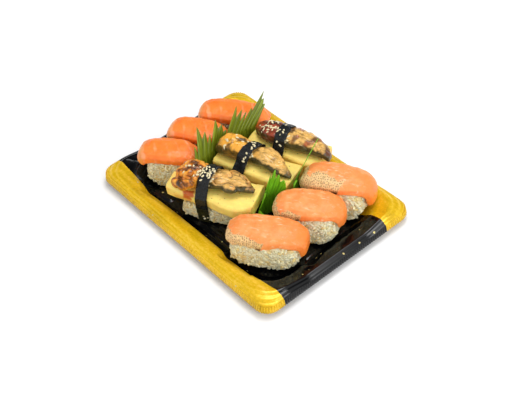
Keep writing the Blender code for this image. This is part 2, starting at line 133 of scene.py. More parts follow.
class EggSettings(bpy.types.PropertyGroup):
    yellow: tint("Egg", "the omelette", 248, 218, 112)
    # The browned colour also paints shade on the slabs' sides and a shadow at one corner.
    browned: tint("Browned egg", "its browned edges", 212, 138, 30)
    sauce: tint("Sauce", "the sauce that ran down it", 196, 96, 30)


class EelSettings(bpy.types.PropertyGroup):
    caramel: tint("Caramel", "the glazed first fillet", 206, 116, 12)
    golden: tint("Golden", "the second fillet", 226, 160, 50)
    red_brown: tint("Red brown", "the third fillet's left part", 112, 42, 18)
    amber: tint("Amber", "the thin glaze", 246, 172, 62)
    flesh: tint("Flesh", "the unglazed flesh", 228, 178, 96)
    skin: tint("Skin", "the fillets' skin", 74, 66, 34)


class SeaweedSettings(bpy.types.PropertyGroup):
    colour: tint("Seaweed", "the dried seaweed", 16, 20, 22)
    crinkle: extent("Crinkle", "Depth of the folds in a strip", 0.6)


class SeedSettings(bpy.types.PropertyGroup):
    colour: tint("Sesame", "the sesame seeds", 240, 226, 180)
    seed_length: extent("Seed length", "Length of a sesame seed", 3.0)
    seed_width: extent("Seed width", "Width of a sesame seed", 1.8)
    spacing: extent("Seed spacing", "Least distance between seeds", 2.0)
    seed: seed(4)


class DividerSettings(bpy.types.PropertyGroup):
    olive: tint("Olive green", "the left divider", 112, 128, 10)
    bright: tint("Bright green", "the right dividers", 112, 186, 18)
    thickness: extent("Thickness", "Thickness of a divider's film", 0.28)


class StageSettings(bpy.types.PropertyGroup):
    floor: tint("Floor", "the floor", 250, 250, 250)
    key: power("Key light", "Power of the large light", 4.2)
    side: power("Side light", "Power of the light at the right", 2.4)
    fill: FloatProperty(name="Fill", description="Strength of the light all round", default=0.92)


def settings(name):
    return getattr(bpy.context.scene, "sushi_" + name)


# ---------------------------------------------------------------- node trees


def feed(socket, value):
    """Sets an input to a value, or links it to another node's output."""
    if isinstance(value, Signal):
        value.nodes.tree.links.new(value.socket, socket)
    else:
        socket.default_value = (*value, 1.0) if socket.type == "RGBA" else value


class Signal:
    """A node's output, which can be reckoned with. A comparison gives 1 or 0."""

    def __init__(self, nodes, socket):
        self.nodes, self.socket = nodes, socket

    def maths(self, operation, *values):
        inputs = dict(enumerate(values))
        return self.nodes.node("Value", "ShaderNodeMath", inputs, operation=operation)

    def __add__(self, other):
        return self.maths("ADD", self, other)

    def __mul__(self, other):
        return self.maths("MULTIPLY", self, other)

    def __truediv__(self, other):
        return self.maths("DIVIDE", self, other)

    def __sub__(self, other):
        return self.maths("SUBTRACT", self, other)

    def __rsub__(self, other):
        return self.maths("SUBTRACT", other, self)

    def __lt__(self, other):
        return self.maths("LESS_THAN", self, other)

    def __gt__(self, other):
        return self.maths("GREATER_THAN", self, other)

    def or_more(self, other):
        return self.maths("MAXIMUM", self, other)


class Nodes:
    """A node tree under construction."""

    def __init__(self, tree):
        self.tree = tree

    def outputs(self, kind, inputs=(), **options):
        """A new node's outputs by name. Its inputs are given by name or number."""
        node = self.tree.nodes.new(kind)
        for name, value in options.items():
            setattr(node, name, value)
        for name, value in dict(inputs).items():
            # Some nodes hold a socket of the same name for each type of data, with one in use.
            named = [socket for socket in node.inputs if socket.name == name and socket.enabled]
            feed(named[0] if named else node.inputs[name], value)
        return {output.name: Signal(self, output) for output in node.outputs if output.enabled}

    def node(self, output, kind, inputs=(), **options):
        return self.outputs(kind, inputs, **options)[output]

    def split(self, vector):
        return tuple(self.outputs("ShaderNodeSeparateXYZ", {0: vector}).values())

    def joint(self, x, y, z):
        return self.node("Vector", "ShaderNodeCombineXYZ", {"X": x, "Y": y, "Z": z})

    def vectors(self, operation, first, second, output="Vector"):
        return self.node(output, "ShaderNodeVectorMath", {0: first, 1: second}, operation=operation)

    def ramp(self, factor, *stops):
        """Colours along a factor, each stop a place and a colour."""
        node = self.tree.nodes.new("ShaderNodeValToRGB")
        feed(node.inputs["Fac"], factor)
        elements = node.color_ramp.elements
        while len(elements) < len(stops):
            elements.new(0.5)
        for element, (position, colour) in zip(elements, stops):
            element.position = position
            element.color = (*colour, 1.0)
        return Signal(self, node.outputs["Color"])


class Finish(Nodes):
    """A material under construction: a Principled shader and the nodes that feed it."""

    def __init__(self, name, roughness, **fixed):
        self.material = bpy.data.materials.new(name)
        self.material.use_nodes = True
        super().__init__(self.material.node_tree)
        self.set(Roughness=roughness, **fixed)

    def set(self, **inputs):
        for name, value in inputs.items():
            feed(self.tree.nodes["Principled BSDF"].inputs[name.replace("_", " ")], value)

    def place(self):
        """The point's place in the object's frame, in metres."""
        return self.node("Object", "ShaderNodeTexCoord")

    def lay(self, name="lay"):
        """The point's place in its nigiri's lie, in millimetres."""
        return self.node("Vector", "ShaderNodeAttribute", attribute_name=name)

    def mask(self, name):
        """A share from 0 to 1 that the mesh carries."""
        return self.node("Fac", "ShaderNodeAttribute", attribute_name=name)

    def noise(self, vector, scale, detail=3.0, roughness=0.55, distortion=0.0):
        inputs = {"Vector": vector, "Scale": scale, "Detail": detail}
        inputs.update(Roughness=roughness, Distortion=distortion)
        return self.node("Fac", "ShaderNodeTexNoise", inputs)

    def drawn_out(self, vector, scale, *noise):
        """Noise on a vector scaled by three numbers."""
        return self.noise(self.vectors("MULTIPLY", vector, scale), *noise)

    def cells(self, vector, scale, randomness=1.0, dimensions="3D"):
        """The distance to the nearest cell's middle and the cell's own random number."""
        inputs = {"Vector": vector, "Scale": scale, "Randomness": randomness}
        cell = self.outputs("ShaderNodeTexVoronoi", inputs, voronoi_dimensions=dimensions)
        return cell["Distance"], self.split(cell["Color"])[0]

    def between(self, value, low, high):
        """0 at low, 1 at high and smooth between them."""
        inputs = {"Value": value, "From Min": low, "From Max": high}
        return self.node("Result", "ShaderNodeMapRange", inputs, interpolation_type="SMOOTHSTEP")

    def mix(self, factor, low, high):
        inputs = {"Factor": factor, "A": low, "B": high}
        return self.node("Result", "ShaderNodeMix", inputs, data_type="RGBA")

    def bump(self, height, depth):
        """Relief of a depth in millimetres."""
        inputs = {"Height": height, "Distance": depth * MM, "Strength": 1.0}
        self.set(Normal=self.node("Normal", "ShaderNodeBump", inputs))


class Growth(Nodes):
    """A Geometry Nodes tree under construction, with named inputs for its sizes."""

    def __init__(self, name, sizes):
        super().__init__(bpy.data.node_groups.new(name, "GeometryNodeTree"))
        self.socket("Geometry", "Geometry")
        for label, value in sizes.items():
            kind = "Int" if isinstance(value, int) else "Float"
            self.socket(label, kind).default_value = value
        self.finish = self.socket("Finish", "Material").identifier
        self.socket("Geometry", "Geometry", "OUTPUT")
        self.start = self.outputs("NodeGroupInput")

    def socket(self, name, kind, side="INPUT"):
        return self.tree.interface.new_socket(name, in_out=side, socket_type="NodeSocket" + kind)

    def named(self, attribute):
        inputs = {"Name": attribute}
        return self.node("Attribute", "GeometryNodeInputNamedAttribute", inputs, data_type="FLOAT")

    def random(self, low, high, seed, kind="FLOAT"):
        inputs = {"Min": low, "Max": high, "Seed": seed}
        return self.node("Value", "FunctionNodeRandomValue", inputs, data_type=kind)

    def aligned(self, axis, inputs, **options):
        kind = "FunctionNodeAlignRotationToVector"
        return self.node("Rotation", kind, inputs, axis=axis, **options)

    def transformed(self, geometry, change, value):
        return self.node("Geometry", "GeometryNodeTransform", {"Geometry": geometry, change: value})

    def instances(self, points, instance, rotation, scale):
        inputs = {"Points": points, "Instance": instance, "Rotation": rotation, "Scale": scale}
        return self.node("Instances", "GeometryNodeInstanceOnPoints", inputs)

    def end(self, instances):
        """Makes the instances real and gives them the finish."""
        real = self.node("Geometry", "GeometryNodeRealizeInstances", {"Geometry": instances})
        inputs = {"Geometry": real, "Material": self.start["Finish"]}
        dressed = self.node("Geometry", "GeometryNodeSetMaterial", inputs)
        self.outputs("NodeGroupOutput", {"Geometry": dressed})
        return self


def scaled(colour, share, lift=0.0):
    return tuple(min(1.0, value * share + lift) for value in colour)


# ---------------------------------------------------------------- meshes

WELD = 0.002


def points_of(mesh):
    points = np.empty(len(mesh.vertices) * 3)
    mesh.vertices.foreach_get("co", points)
    return points.reshape(-1, 3) / MM


def set_points(mesh, points):
    mesh.vertices.foreach_set("co", (np.asarray(points) * MM).ravel())
    mesh.update()


def normals_of(mesh):
    normals = np.empty(len(mesh.vertices) * 3)
    mesh.vertex_normals.foreach_get("vector", normals)
    return normals.reshape(-1, 3)


def carry(mesh, name, values):
    """Stores a number or a vector for each point."""
    values = np.asarray(values, float)
    kind, field = ("FLOAT", "value") if values.ndim == 1 else ("FLOAT_VECTOR", "vector")
    mesh.attributes.new(name, kind, "POINT").data.foreach_set(field, values.ravel())


def smooth_step(values, low, high):
    share = np.clip((np.asarray(values) - low) / (high - low), 0.0, 1.0)
    return share * share * (3.0 - 2.0 * share)


def lumps(points, size, seed=0, octaves=1):
    """Smooth unevenness from about -1 to 1 at each point, with features of a size."""
    total = np.zeros(len(points))
    for octave in range(octaves):
        grid = np.asarray(points) / size * 2.0**octave + 19.7 * (seed + 1) + 7.3 * octave
        cell = np.floor(grid)
        share = grid - cell
        fade = share * share * share * (share * (share * 6.0 - 15.0) + 10.0)
        for corner in np.ndindex(2, 2, 2):
            lattice = cell + corner
            slopes = [
                np.sin(lattice @ np.array(turns)) * 43758.5453
                for turns in ((127.1, 311.7, 74.7), (269.5, 183.3, 246.1), (113.5, 271.9, 124.6))
            ]
            slope = np.stack([2.0 * (value - np.floor(value)) - 1.0 for value in slopes], axis=1)
            weight = np.prod(np.where(corner, fade, 1.0 - fade), axis=1)
            total += weight * (slope * (share - corner)).sum(axis=1) * 1.6 / 2.0**octave
    return total


def placed(name, data):
    """A new object in the scene."""
    item = bpy.data.objects.new(name, data)
    bpy.context.scene.collection.objects.link(item)
    return item


def linked(name, mesh, finish):
    """An object at the origin that holds a mesh, in place of one left by an earlier run."""
    old = bpy.data.objects.get(name)
    if old is not None:
        bpy.data.objects.remove(old, do_unlink=True)
    mesh.name = name
    mesh.materials.clear()
    mesh.materials.append(finish.material)
    mesh.shade_smooth()
    return placed(name, mesh)


def kept(name, mesh, finish, slot, *nodes):
    """A finished piece fixed to the frame, in place of the nodes that it stands for."""
    item = linked(name, mesh, finish)
    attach(item, BODY)
    if nodes:
        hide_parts(*nodes)


def evaluated(item):
    """A plain mesh of an object with its modifiers applied. The object itself is removed."""
    bpy.context.view_layer.update()
    graph = bpy.context.evaluated_depsgraph_get()
    mesh = bpy.data.meshes.new_from_object(item.evaluated_get(graph))
    bpy.data.objects.remove(item, do_unlink=True)
    return mesh


def reworked(mesh, **modifiers):
    """A plain mesh of this one after modifiers, each given as its type and its settings."""
    item = placed("reworked", mesh)
    for kind, options in modifiers.items():
        modifier = item.modifiers.new(kind, kind)
        for name, value in options.items():
            setattr(modifier, name, value)
    return evaluated(item)


def fine(mesh, voxel, smoothing):
    """An even fine mesh of the same solid, with its edges rounded."""
    remesh = {"mode": "VOXEL", "voxel_size": voxel * MM}
    return reworked(mesh, REMESH=remesh, SMOOTH={"iterations": smoothing})


def solid_sheet(mesh, thickness, offset):
    """A sheet given a thickness in millimetres."""
    return reworked(mesh, SOLIDIFY={"thickness": thickness * MM, "offset": offset})


def grown(mesh, growth, finish):
    """The plain mesh that a Geometry Nodes tree makes from a mesh."""
    item = placed("grown", mesh)
    modifier = item.modifiers.new("nodes", "NODES")
    modifier.node_group = growth.tree
    modifier[growth.finish] = finish.material
    made = evaluated(item)
    bpy.data.node_groups.remove(growth.tree)
    if not made.polygons:
        raise RuntimeError("a Geometry Nodes tree made nothing")
    return made


@contextmanager
def building(mesh):
    """The mesh as a bmesh, written back at the end."""
    build = bmesh.new()
    build.from_mesh(mesh)
    yield build
    build.to_mesh(mesh)
    build.free()


def joined(meshes):
    """One mesh of several."""
    whole = bpy.data.meshes.new("joined")
    with building(whole) as build:
        for mesh in meshes:
            build.from_mesh(mesh)
    return whole


def node_mesh(node):
    """A copy of a CAD node's mesh, with the points that lie together made one."""
    mesh = joined([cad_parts[node].data])
    with building(mesh) as build:
        bmesh.ops.remove_doubles(build, verts=build.verts, dist=WELD * MM)
    return mesh


def pushed(mesh, amounts):
    """Moves each point along its normal, by millimetres."""
    set_points(mesh, points_of(mesh) + normals_of(mesh) * np.asarray(amounts)[:, None])


class Lie:
    """Where a nigiri lies: the middle and direction of the smallest rectangle round its plan."""

    def __init__(self, node):
        plan = points_of(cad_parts[node].data)[:, :2]
        best = None
        for degrees in np.arange(0.0, 90.0, 0.5):
            turned = plan @ self.turn(math.radians(degrees))
            low, high = turned.min(axis=0), turned.max(axis=0)
            area = np.prod(high - low)
            if best is None or area < best[0]:
                best = (area, math.radians(degrees), low, high)
        _, self.yaw, low, high = best
        self.middle = self.turn(self.yaw) @ ((low + high) / 2)
        if (high - low)[1] > (high - low)[0]:
            self.yaw -= math.pi / 2
        self.half = sorted((high - low) / 2, reverse=True)

    @staticmethod
    def turn(yaw):
        return np.array(((math.cos(yaw), -math.sin(yaw)), (math.sin(yaw), math.cos(yaw))))

    def own(self, points):
        """Points of the tray's frame as along, across and height."""
        plan = (points[:, :2] - self.middle) @ self.turn(self.yaw)
        return np.column_stack([plan, points[:, 2]])

    def world(self, points):
        """Points given as along, across and height in the tray's frame."""
        points = np.asarray(points, float)
        plan = points[:, :2] @ self.turn(self.yaw).T + self.middle
        return np.column_stack([plan, points[:, 2]])


def spline(rows, parts):
    """A smooth curve through rows of numbers, with each step cut into parts."""
    rows = np.asarray(rows, float)
    padded = np.concatenate([rows[:1], rows, rows[-1:]])
    found = []
    for step in range(len(rows) - 1):
        a, b, c, d = padded[step : step + 4]
        square, cube = 2 * a - 5 * b + 4 * c - d, 3 * b - a - 3 * c + d
        for t in np.arange(parts) / parts:
            found.append(0.5 * (2 * b + (c - a) * t + square * t**2 + cube * t**3))
    return np.array([*found, rows[-1]])


def grid_mesh(points, rows, columns, closed=False):
    """A mesh of a grid of points, closed along its columns if asked."""
    faces = []
    for row in range(rows - 1):
        for column in range(columns if closed else columns - 1):
            here, after = row * columns + column, row * columns + (column + 1) % columns
            faces.append((here, after, after + columns, here + columns))
    mesh = bpy.data.meshes.new("grid")
    mesh.from_pydata([tuple(point) for point in np.asarray(points) * MM], [], faces)
    return mesh


# ---------------------------------------------------------------- tray

HALF_X = 107.0
HALF_Y = 76.5
SHEET = 0.8
# The sheet's profile from the skirt's edge to the floor: how far in from the outer edge, how high,
# the radius of the corners, and the share of a bay's depth.
PROFILE = (
    (0.0, 5.4, 11.8, 0.0),
    (0.5, 7.6, 11.8, 0.0),
    (1.0, 10.2, 12.0, 0.0),
    (1.15, 11.2, 12.2, 0.0),
    (1.6, 11.9, 12.8, 0.0),
    (2.4, 12.05, 13.6, 0.0),
    (2.9, 12.7, 14.5, 0.0),
    (3.5, 13.5, 15.5, 0.0),
    (4.4, 13.75, 17.0, 0.0),
    (5.2, 13.9, 18.0, 0.0),
    (5.9, 14.6, 19.0, 0.0),
    (6.8, 15.0, 20.0, 0.0),
    (7.8, 14.8, 20.0, 0.05),
    (9.5, 14.1, 20.0, 0.12),
    (12.0, 13.0, 20.0, 0.25),
    (16.0, 10.9, 21.0, 0.8),
    (21.0, 5.0, 20.0, 1.0),
    (25.5, 1.3, 18.0, 1.0),
    (27.0, SHEET, 17.0, 1.0),
)
# The rim dips along the middle of each side: by what share of its height over the skirt's edge,
# and how far from a side's ends the dip starts and is full.
LONG_DIP = 0.2
SHORT_DIP = 0.42
DIP_START = 22.0
DIP_FULL = 48.0
PROFILE_PARTS = 3
FLUTE_FOOT = 5.3
FLUTE_TOP = 11.0
FLUTE_LEAN = 0.17
LONG_STEPS = 130
SHORT_STEPS = 90
CORNER_STEPS = 14
# A bay is a stretch of wall pressed out, deepest just past its start, as one goes round the tray
# anticlockwise. It closes again over its reach. Each is given as its start, depth and reach.
LONG_BAYS = ((-66.0, 6.0, 28.0), (36.0, 6.0, 24.0))
SHORT_BAYS = ((-20.0, 5.0, 20.0),)
BAY_EDGE = 2.0
FLOOR_RINGS = 30
FLOOR_STEP = 1.2
FLOOR_CORNER = 3.0
BAY_FADE = 4.0
# Stiffening ribs pressed into the floor: x and y of each end, half width and height.
FLOOR_RIBS = (
    (-30.0, -46.8, 70.0, -45.2, 0.8, 0.8),
    (-27.0, -42.6, 70.0, -41.4, 0.8, 0.8),
    (-24.0, -38.4, 70.0, -37.6, 0.8, 0.8),
    (79.5, -14.0, 79.7, -2.0, 1.0, 1.4),
    (90.5, -17.0, 86.0, -1.0, 1.0, 1.6),
    (79.6, 8.0, 79.6, 30.0, 1.0, 1.4),
    (-62.0, -50.5, -46.0, -49.0, 2.4, 1.2),
    (-78.0, -36.0, -78.0, -10.0, 2.2, 1.1),
    (-78.0, 0.0, -78.0, 30.0, 2.2, 1.1),
)
RIB_EDGE = 0.9
FLECK_TOP = 12.5
FLECK_COLOUR = shade(206, 188, 120)


def bay_depth(position, bays):
    """How far the wall stands out at a place along a side."""
    total = 0.0
    for start, depth, reach in bays:
        past = position - start
        opened = 0.5 * (1.0 + math.tanh(past / BAY_EDGE))
        total += depth * opened * math.exp(-max(0.0, past) / reach)
    return total


def tray_ring(inset, height, corner, share):
    """A closed line round the tray, anticlockwise, with a share of the bays' depth."""
    half_x, half_y = HALF_X - inset, HALF_Y - inset
    over = max(0.0, height - PROFILE[0][1])
    ring = []
    for turn in range(4):
        along_x = turn % 2 == 1
        half, far = (half_x, half_y) if along_x else (half_y, half_x)
        steps, bays = (LONG_STEPS, LONG_BAYS) if along_x else (SHORT_STEPS, SHORT_BAYS)
        dip = over * (LONG_DIP if along_x else SHORT_DIP)
        side = []
        for y in np.linspace(corner - half, half - corner, steps + 1):
            low = smooth_step(half + inset - abs(y), DIP_START, DIP_FULL)
            side.append((far + share * bay_depth(y, bays), y, height - dip * low))
        for step in range(1, CORNER_STEPS):
            angle = step / CORNER_STEPS * math.pi / 2
            x, y = far - corner + corner * math.cos(angle), half - corner + corner * math.sin(angle)
            side.append((x, y, height))
        cosine, sine = round(math.cos(turn * math.pi / 2)), round(math.sin(turn * math.pi / 2))
        ring += [(x * cosine - y * sine, x * sine + y * cosine, z) for x, y, z in side]
    return np.array(ring)


def floor_relief(plan):
    """How high the floor's ribs stand at each point."""
    height = np.zeros(len(plan))
    for *ends, half_width, tall in FLOOR_RIBS:
        start, end = np.array(ends[:2]), np.array(ends[2:])
        reach = end - start
        share = np.clip((plan - start) @ reach / (reach @ reach), 0.0, 1.0)
        away = np.linalg.norm(plan - start - share[:, None] * reach, axis=1)
        height = np.maximum(height, tall * 0.5 * (1.0 - np.tanh((away - half_width) / RIB_EDGE)))
    return height


def tray_finish():
    """Glossy black plastic with printed gold bands along both long sides, and scattered flecks."""
    look = settings("tray")
    finish = Finish("black and gold plastic", 0.2, IOR=1.4)
    place = finish.place()
    _, y, height = finish.split(place)
    band = (y < look.band_front - HALF_Y * MM).or_more(y > HALF_Y * MM - look.band_back)
    away, number = finish.cells(place, 1.0 / look.fleck_size)
    edge = away + finish.noise(place, 900.0, 2.0) * 0.25
    fleck = (edge < 0.27) * (number > 0.72) * (height < FLECK_TOP * MM)
    gold_share = band.or_more(fleck)
    mottle = finish.noise(place, 480.0, 4.0, 0.7)
    broad = finish.drawn_out(place, (0.4, 2.5, 1.0), 60.0, 3.0)
    gold = finish.ramp(
        mottle * 0.5 + broad * 0.5,
        (0.32, scaled(look.gold, 0.68)),
        (0.5, look.gold),
        (0.66, scaled(look.gold, 1.15, 0.06)),
    )
    gold = finish.mix(fleck, gold, FLECK_COLOUR)
    finish.set(
        Base_Color=finish.mix(gold_share, look.black, gold),
        Roughness=gold_share * 0.16 + 0.1,
        Metallic=gold_share * 0.2,
    )
    finish.bump(finish.noise(place, 200.0, 3.0), 0.04)
    return finish


def tray_mesh():
    """The formed sheet with its beaded rim, ledge, bays and ribbed floor."""
    rings = [tray_ring(*row) for row in spline(PROFILE, PROFILE_PARTS)]
    inset, height, corner, share = PROFILE[-1]
    for step in range(1, FLOOR_RINGS + 1):
        shallow = share * math.exp(-step / BAY_FADE)
        radius = max(FLOOR_CORNER, corner - 0.3 * step)
        ring = tray_ring(inset + step * FLOOR_STEP, height, radius, shallow)
        ring[:, 2] += floor_relief(ring[:, :2])
        rings.append(ring)
    columns = len(rings[0])
    mesh = grid_mesh(np.concatenate(rings), len(rings), columns, closed=True)
    with building(mesh) as build:
        build.faces.new(list(build.verts)[-columns:])
    return solid_sheet(mesh, SHEET, -1.0)


def flutes(look):
    """Upright ribs side by side along a curve, each leaning in to its top."""
    sizes = {"Pitch": look.flute_pitch, "Depth": look.flute_depth}
    sizes["Height"] = (FLUTE_TOP - FLUTE_FOOT) * MM
    tree = Growth("Skirt flutes", sizes)
    start = tree.start
    curve = tree.node("Curve", "GeometryNodeMeshToCurve", {"Mesh": start["Geometry"]})
    inputs = {"Curve": curve, "Length": start["Pitch"]}
    points = tree.outputs("GeometryNodeCurveToPoints", inputs, mode="LENGTH")
    width = start["Pitch"] * 0.4
    inputs = {"Vertices": 8, "Radius Top": width * 0.8, "Radius Bottom": width}
    rib = tree.node("Mesh", "GeometryNodeMeshCone", {**inputs, "Depth": start["Height"]})
    rib = tree.transformed(rib, "Scale", tree.joint(start["Depth"] / width, 1.0, 1.0))
    rib = tree.transformed(rib, "Rotation", (0.0, -FLUTE_LEAN, 0.0))
    outward = tree.aligned("X", {"Vector": points["Normal"]}, pivot_axis="Z")
    tall = tree.joint(1.0, 1.0, tree.named("tall"))
    return tree.end(tree.instances(points["Points"], rib, outward, tall))


def skirt_line():
    """A closed line of edges round the skirt's foot, which carries the height of its flutes."""
    points = tray_ring(0.1, FLUTE_TOP, 11.8, 0.0)
    tall = (points[:, 2] - FLUTE_FOOT) / (FLUTE_TOP - FLUTE_FOOT)
    points[:, 2] = FLUTE_FOOT
    mesh = bpy.data.meshes.new("skirt line")
    edges = [(step, (step + 1) % len(points)) for step in range(len(points))]
    mesh.from_pydata([tuple(point) for point in points * MM], edges, [])
    carry(mesh, "tall", tall)
    return mesh


class SUSHI_OT_tray(bpy.types.Operator):
    """Makes the formed tray and the flutes round its skirt"""

    bl_idname = "sushi.tray"
    bl_label = "Tray"

    def execute(self, context):
        finish = tray_finish()
        kept("tray_shell", tray_mesh(), finish, "tray plastic", "tray")
        ribs = grown(skirt_line(), flutes(settings("tray")), finish)
        kept("tray_flutes", ribs, finish, "tray plastic")
        return {"FINISHED"}


# ---------------------------------------------------------------- scattered things

MOST_DENSE = 4.0e6
GRAIN_TILT = 0.25
GRAIN_SIZES = (0.82, 1.12)
TILT_SEED, SIZE_SEED, TONE_SEED = 3, 5, 9


def scatter(name, length, width, thickness, spacing, seed):
    """Grains laid on a surface at random: flat ellipsoids that lie along it, turned any way."""
    sizes = {"Length": length, "Width": width, "Thickness": thickness}
    tree = Growth(name, {**sizes, "Spacing": spacing, "Tilt": GRAIN_TILT, "Seed": seed})
    start = tree.start
    inputs = {
        "Mesh": start["Geometry"],
        "Distance Min": start["Spacing"],
        "Density Max": MOST_DENSE,
        "Density Factor": tree.named("cover"),
        "Seed": start["Seed"],
    }
    kind = "GeometryNodeDistributePointsOnFaces"
    points = tree.outputs(kind, inputs, distribute_method="POISSON")
    normal = points["Normal"]
    inputs = {"Segments": 7, "Rings": 6, "Radius": 0.5}
    grain = tree.node("Mesh", "GeometryNodeMeshUVSphere", inputs)
    size = tree.joint(start["Thickness"], start["Width"], start["Length"])
    grain = tree.transformed(grain, "Scale", size)
    turn = tree.random((-1.0, -1.0, -1.0), (1.0, 1.0, 1.0), start["Seed"], "FLOAT_VECTOR")
    tilt = tree.random(start["Tilt"] * -1.0, start["Tilt"], TILT_SEED)
    inputs = {"Vector": normal, "Scale": tilt}
    rise = tree.node("Vector", "ShaderNodeVectorMath", inputs, operation="SCALE")
    heading = tree.vectors("ADD", tree.vectors("CROSS_PRODUCT", normal, turn), rise)
    lying = tree.aligned("Z", {"Vector": heading})
    lying = tree.aligned("X", {"Rotation": lying, "Vector": normal}, pivot_axis="Z")
    laid = tree.instances(points["Points"], grain, lying, tree.random(*GRAIN_SIZES, SIZE_SEED))
    inputs = {"Geometry": laid, "Name": "tone", "Value": tree.random(0.0, 1.0, TONE_SEED)}
    options = {"data_type": "FLOAT", "domain": "INSTANCE"}
    return tree.end(tree.node("Geometry", "GeometryNodeStoreNamedAttribute", inputs, **options))


# ---------------------------------------------------------------- rice

CORE_INSET = 1.1
CORE_VOXEL = 1.1
GRAIN_INSET = 0.3
# Grains that end below the settling height are pressed in above the tray's floor.
GRAIN_FLOOR = 0.95
GRAIN_SETTLE = 3.5
# Grains lie where the heap faces neither straight up, under the topping, nor down.
BARE_TOP = 0.8
BARE_FOOT = -0.6
GRAINS_START = 1.6


def rice_finish():
    """Translucent white grains, each a little different."""
    look = settings("rice")
    soft = {"Subsurface_Scale": 4.0 * MM, "Subsurface_Radius": (1.0, 0.85, 0.6)}
    finish = Finish("cooked rice", 0.22, Subsurface_Weight=0.5, **soft)
    # Each grain's tone lies at random between the painted gap shade and the rice colour.
    tone = finish.ramp(finish.mask("tone"), (0.0, look.gap_shade), (0.45, look.colour))
    finish.set(Base_Color=tone)
    return finish


def core_finish():
    """The shaded rice between the outer grains."""
    look = settings("rice")
    finish = Finish("packed rice", 0.4, Subsurface_Weight=0.4, Subsurface_Scale=4.0 * MM)
    tone = finish.noise(finish.place(), 160.0, 2.0)
    # The core's rice is mottled between the painted gap shade and the rice colour.
    finish.set(Base_Color=finish.ramp(tone, (0.35, look.gap_shade), (0.7, look.colour)))
    finish.bump(finish.noise(finish.place(), 500.0, 2.0), 0.25)
    return finish


def settled(grains):
    """Presses the lowest grains' ends in above the tray's floor."""
    points = points_of(grains)
    low = points[:, 2] < GRAIN_SETTLE
    ends = (points[:, 2].min(), GRAIN_SETTLE)
    points[low, 2] = np.interp(points[low, 2], ends, (GRAIN_FLOOR, GRAIN_SETTLE))
    set_points(grains, points)


def rice_row(kind):
    """The cores of a row's three heaps and one piece of all the grains on them."""
    look = settings("rice")
    nodes = [f"{kind}_rice_{number}" for number in ROWS]
    cores, beds = [], []
    for number, node in zip(ROWS, nodes):
        mesh = fine(node_mesh(node), CORE_VOXEL, 3)
        bed = mesh.copy()
        pushed(mesh, lumps(points_of(mesh), 5.0, number) * 0.7 - CORE_INSET)
        cores.append(mesh)
        pushed(bed, lumps(points_of(bed), 6.0, number + 5) * 0.5 - GRAIN_INSET)
        facing, height = normals_of(bed)[:, 2], points_of(bed)[:, 2]
        shown = (facing < BARE_TOP) & (facing > BARE_FOOT) & (height > GRAINS_START)
        carry(bed, "cover", shown.astype(float))
        beds.append(bed)
    kept(f"{kind}_rice_core", joined(cores), core_finish(), "rice", *nodes)
    thickness = look.grain_width * 0.9
    sizes = (look.grain_length, look.grain_width, thickness, look.spacing, look.seed)
    finish = rice_finish()
    grains = grown(joined(beds), scatter("Rice grains", *sizes), finish)
    settled(grains)
    kept(f"{kind}_rice_grains", grains, finish, "rice", *nodes)


class SUSHI_OT_rice(bpy.types.Operator):
    """Makes the heaps of rice: a smaller core under real grains"""

    bl_idname = "sushi.rice"
    bl_label = "Rice"

    def execute(self, context):
        for kind in ("salmon", "egg", "torched"):
            rice_row(kind)
        return {"FINISHED"}


# ---------------------------------------------------------------- fish

FISH_VOXEL = 0.75
FLAKE_PITCH = 7.5
FLAKE_CURVE = 0.018
FLAKE_RIPPLE = 0.1
LINE_PITCH = 11.0
LINE_LEAN = 0.7
LINE_WIDTH = 0.3
THIN_EDGE = shade(226, 150, 70)
# The seared band of skin on each nigiri: its height at its left and right ends, where it ends
# along the slice, and how wide the burnt patch there is.
# The lower its wrap, the further it reaches over the top.
# The near edge hangs lower by its drop where the band ends.
Sear = namedtuple("Sear", "left right end burnt wrap drop")
SEARS = {
    1: Sear(11.5, 8.5, -1.0, 4.0, 0.9, 5.0),
    2: Sear(13.5, 7.0, -3.5, 3.0, 0.8, 1.5),
    3: Sear(20.0, 12.0, 4.0, 6.0, 0.5, 1.5),
}
DROP_REACH = 9.0


def fish_mesh(node, lie, number):
    """A slice with the gentle ridges of its flakes."""
    mesh = fine(node_mesh(node), FISH_VOXEL, 4)
    own = lie.own(points_of(mesh))
    bend = own[:, 0] + FLAKE_CURVE * own[:, 1] ** 2 + 3.0 * lumps(own, 18.0, number)
    flakes = FLAKE_RIPPLE * np.sin(bend * 2.0 * math.pi / FLAKE_PITCH)
    pushed(mesh, flakes + 0.5 * lumps(own, 9.0, number + 3) + 0.12 * lumps(own, 2.5, number))
    own = lie.own(points_of(mesh))
    carry(mesh, "lay", own)
    return mesh, own


def raw_finish():
    """Saturated orange flesh with faint pale lines and tan thin edges."""
    look = settings("fish")
    soft = {"Subsurface_Scale": 3.0 * MM, "Subsurface_Radius": (1.0, 0.4, 0.2)}
    finish = Finish("raw salmon", 0.36, Subsurface_Weight=0.25, **soft)
    lay = finish.lay()
    tone = finish.ramp(
        finish.noise(lay, 0.09, 3.0),
        (0.35, scaled(look.raw, 0.9)),
        (0.65, scaled(look.raw, 1.12, 0.015)),
    )
    along, across, _ = finish.split(lay)
    waver = finish.noise(lay, 0.07, 2.0) * 9.0
    line = (along + across * across * FLAKE_CURVE) + (waver + across * LINE_LEAN)
    line = line * (2.0 * math.pi / LINE_PITCH)
    lines = finish.between(line.maths("SINE", line), 1.0 - LINE_WIDTH, 1.0)
    lines = lines * finish.between(finish.noise(lay, 0.08, 2.0), 0.42, 0.7)
    colour = finish.mix(lines * 0.4, tone, look.fat_and_highlight)
    finish.set(
        Base_Color=finish.mix(finish.mask("edge"), colour, THIN_EDGE),
        Roughness=finish.noise(lay, 0.6, 3.0) * 0.2 + 0.26,
    )
    finish.bump(finish.noise(lay, 0.9, 4.0, 0.6), 0.2)
    return finish


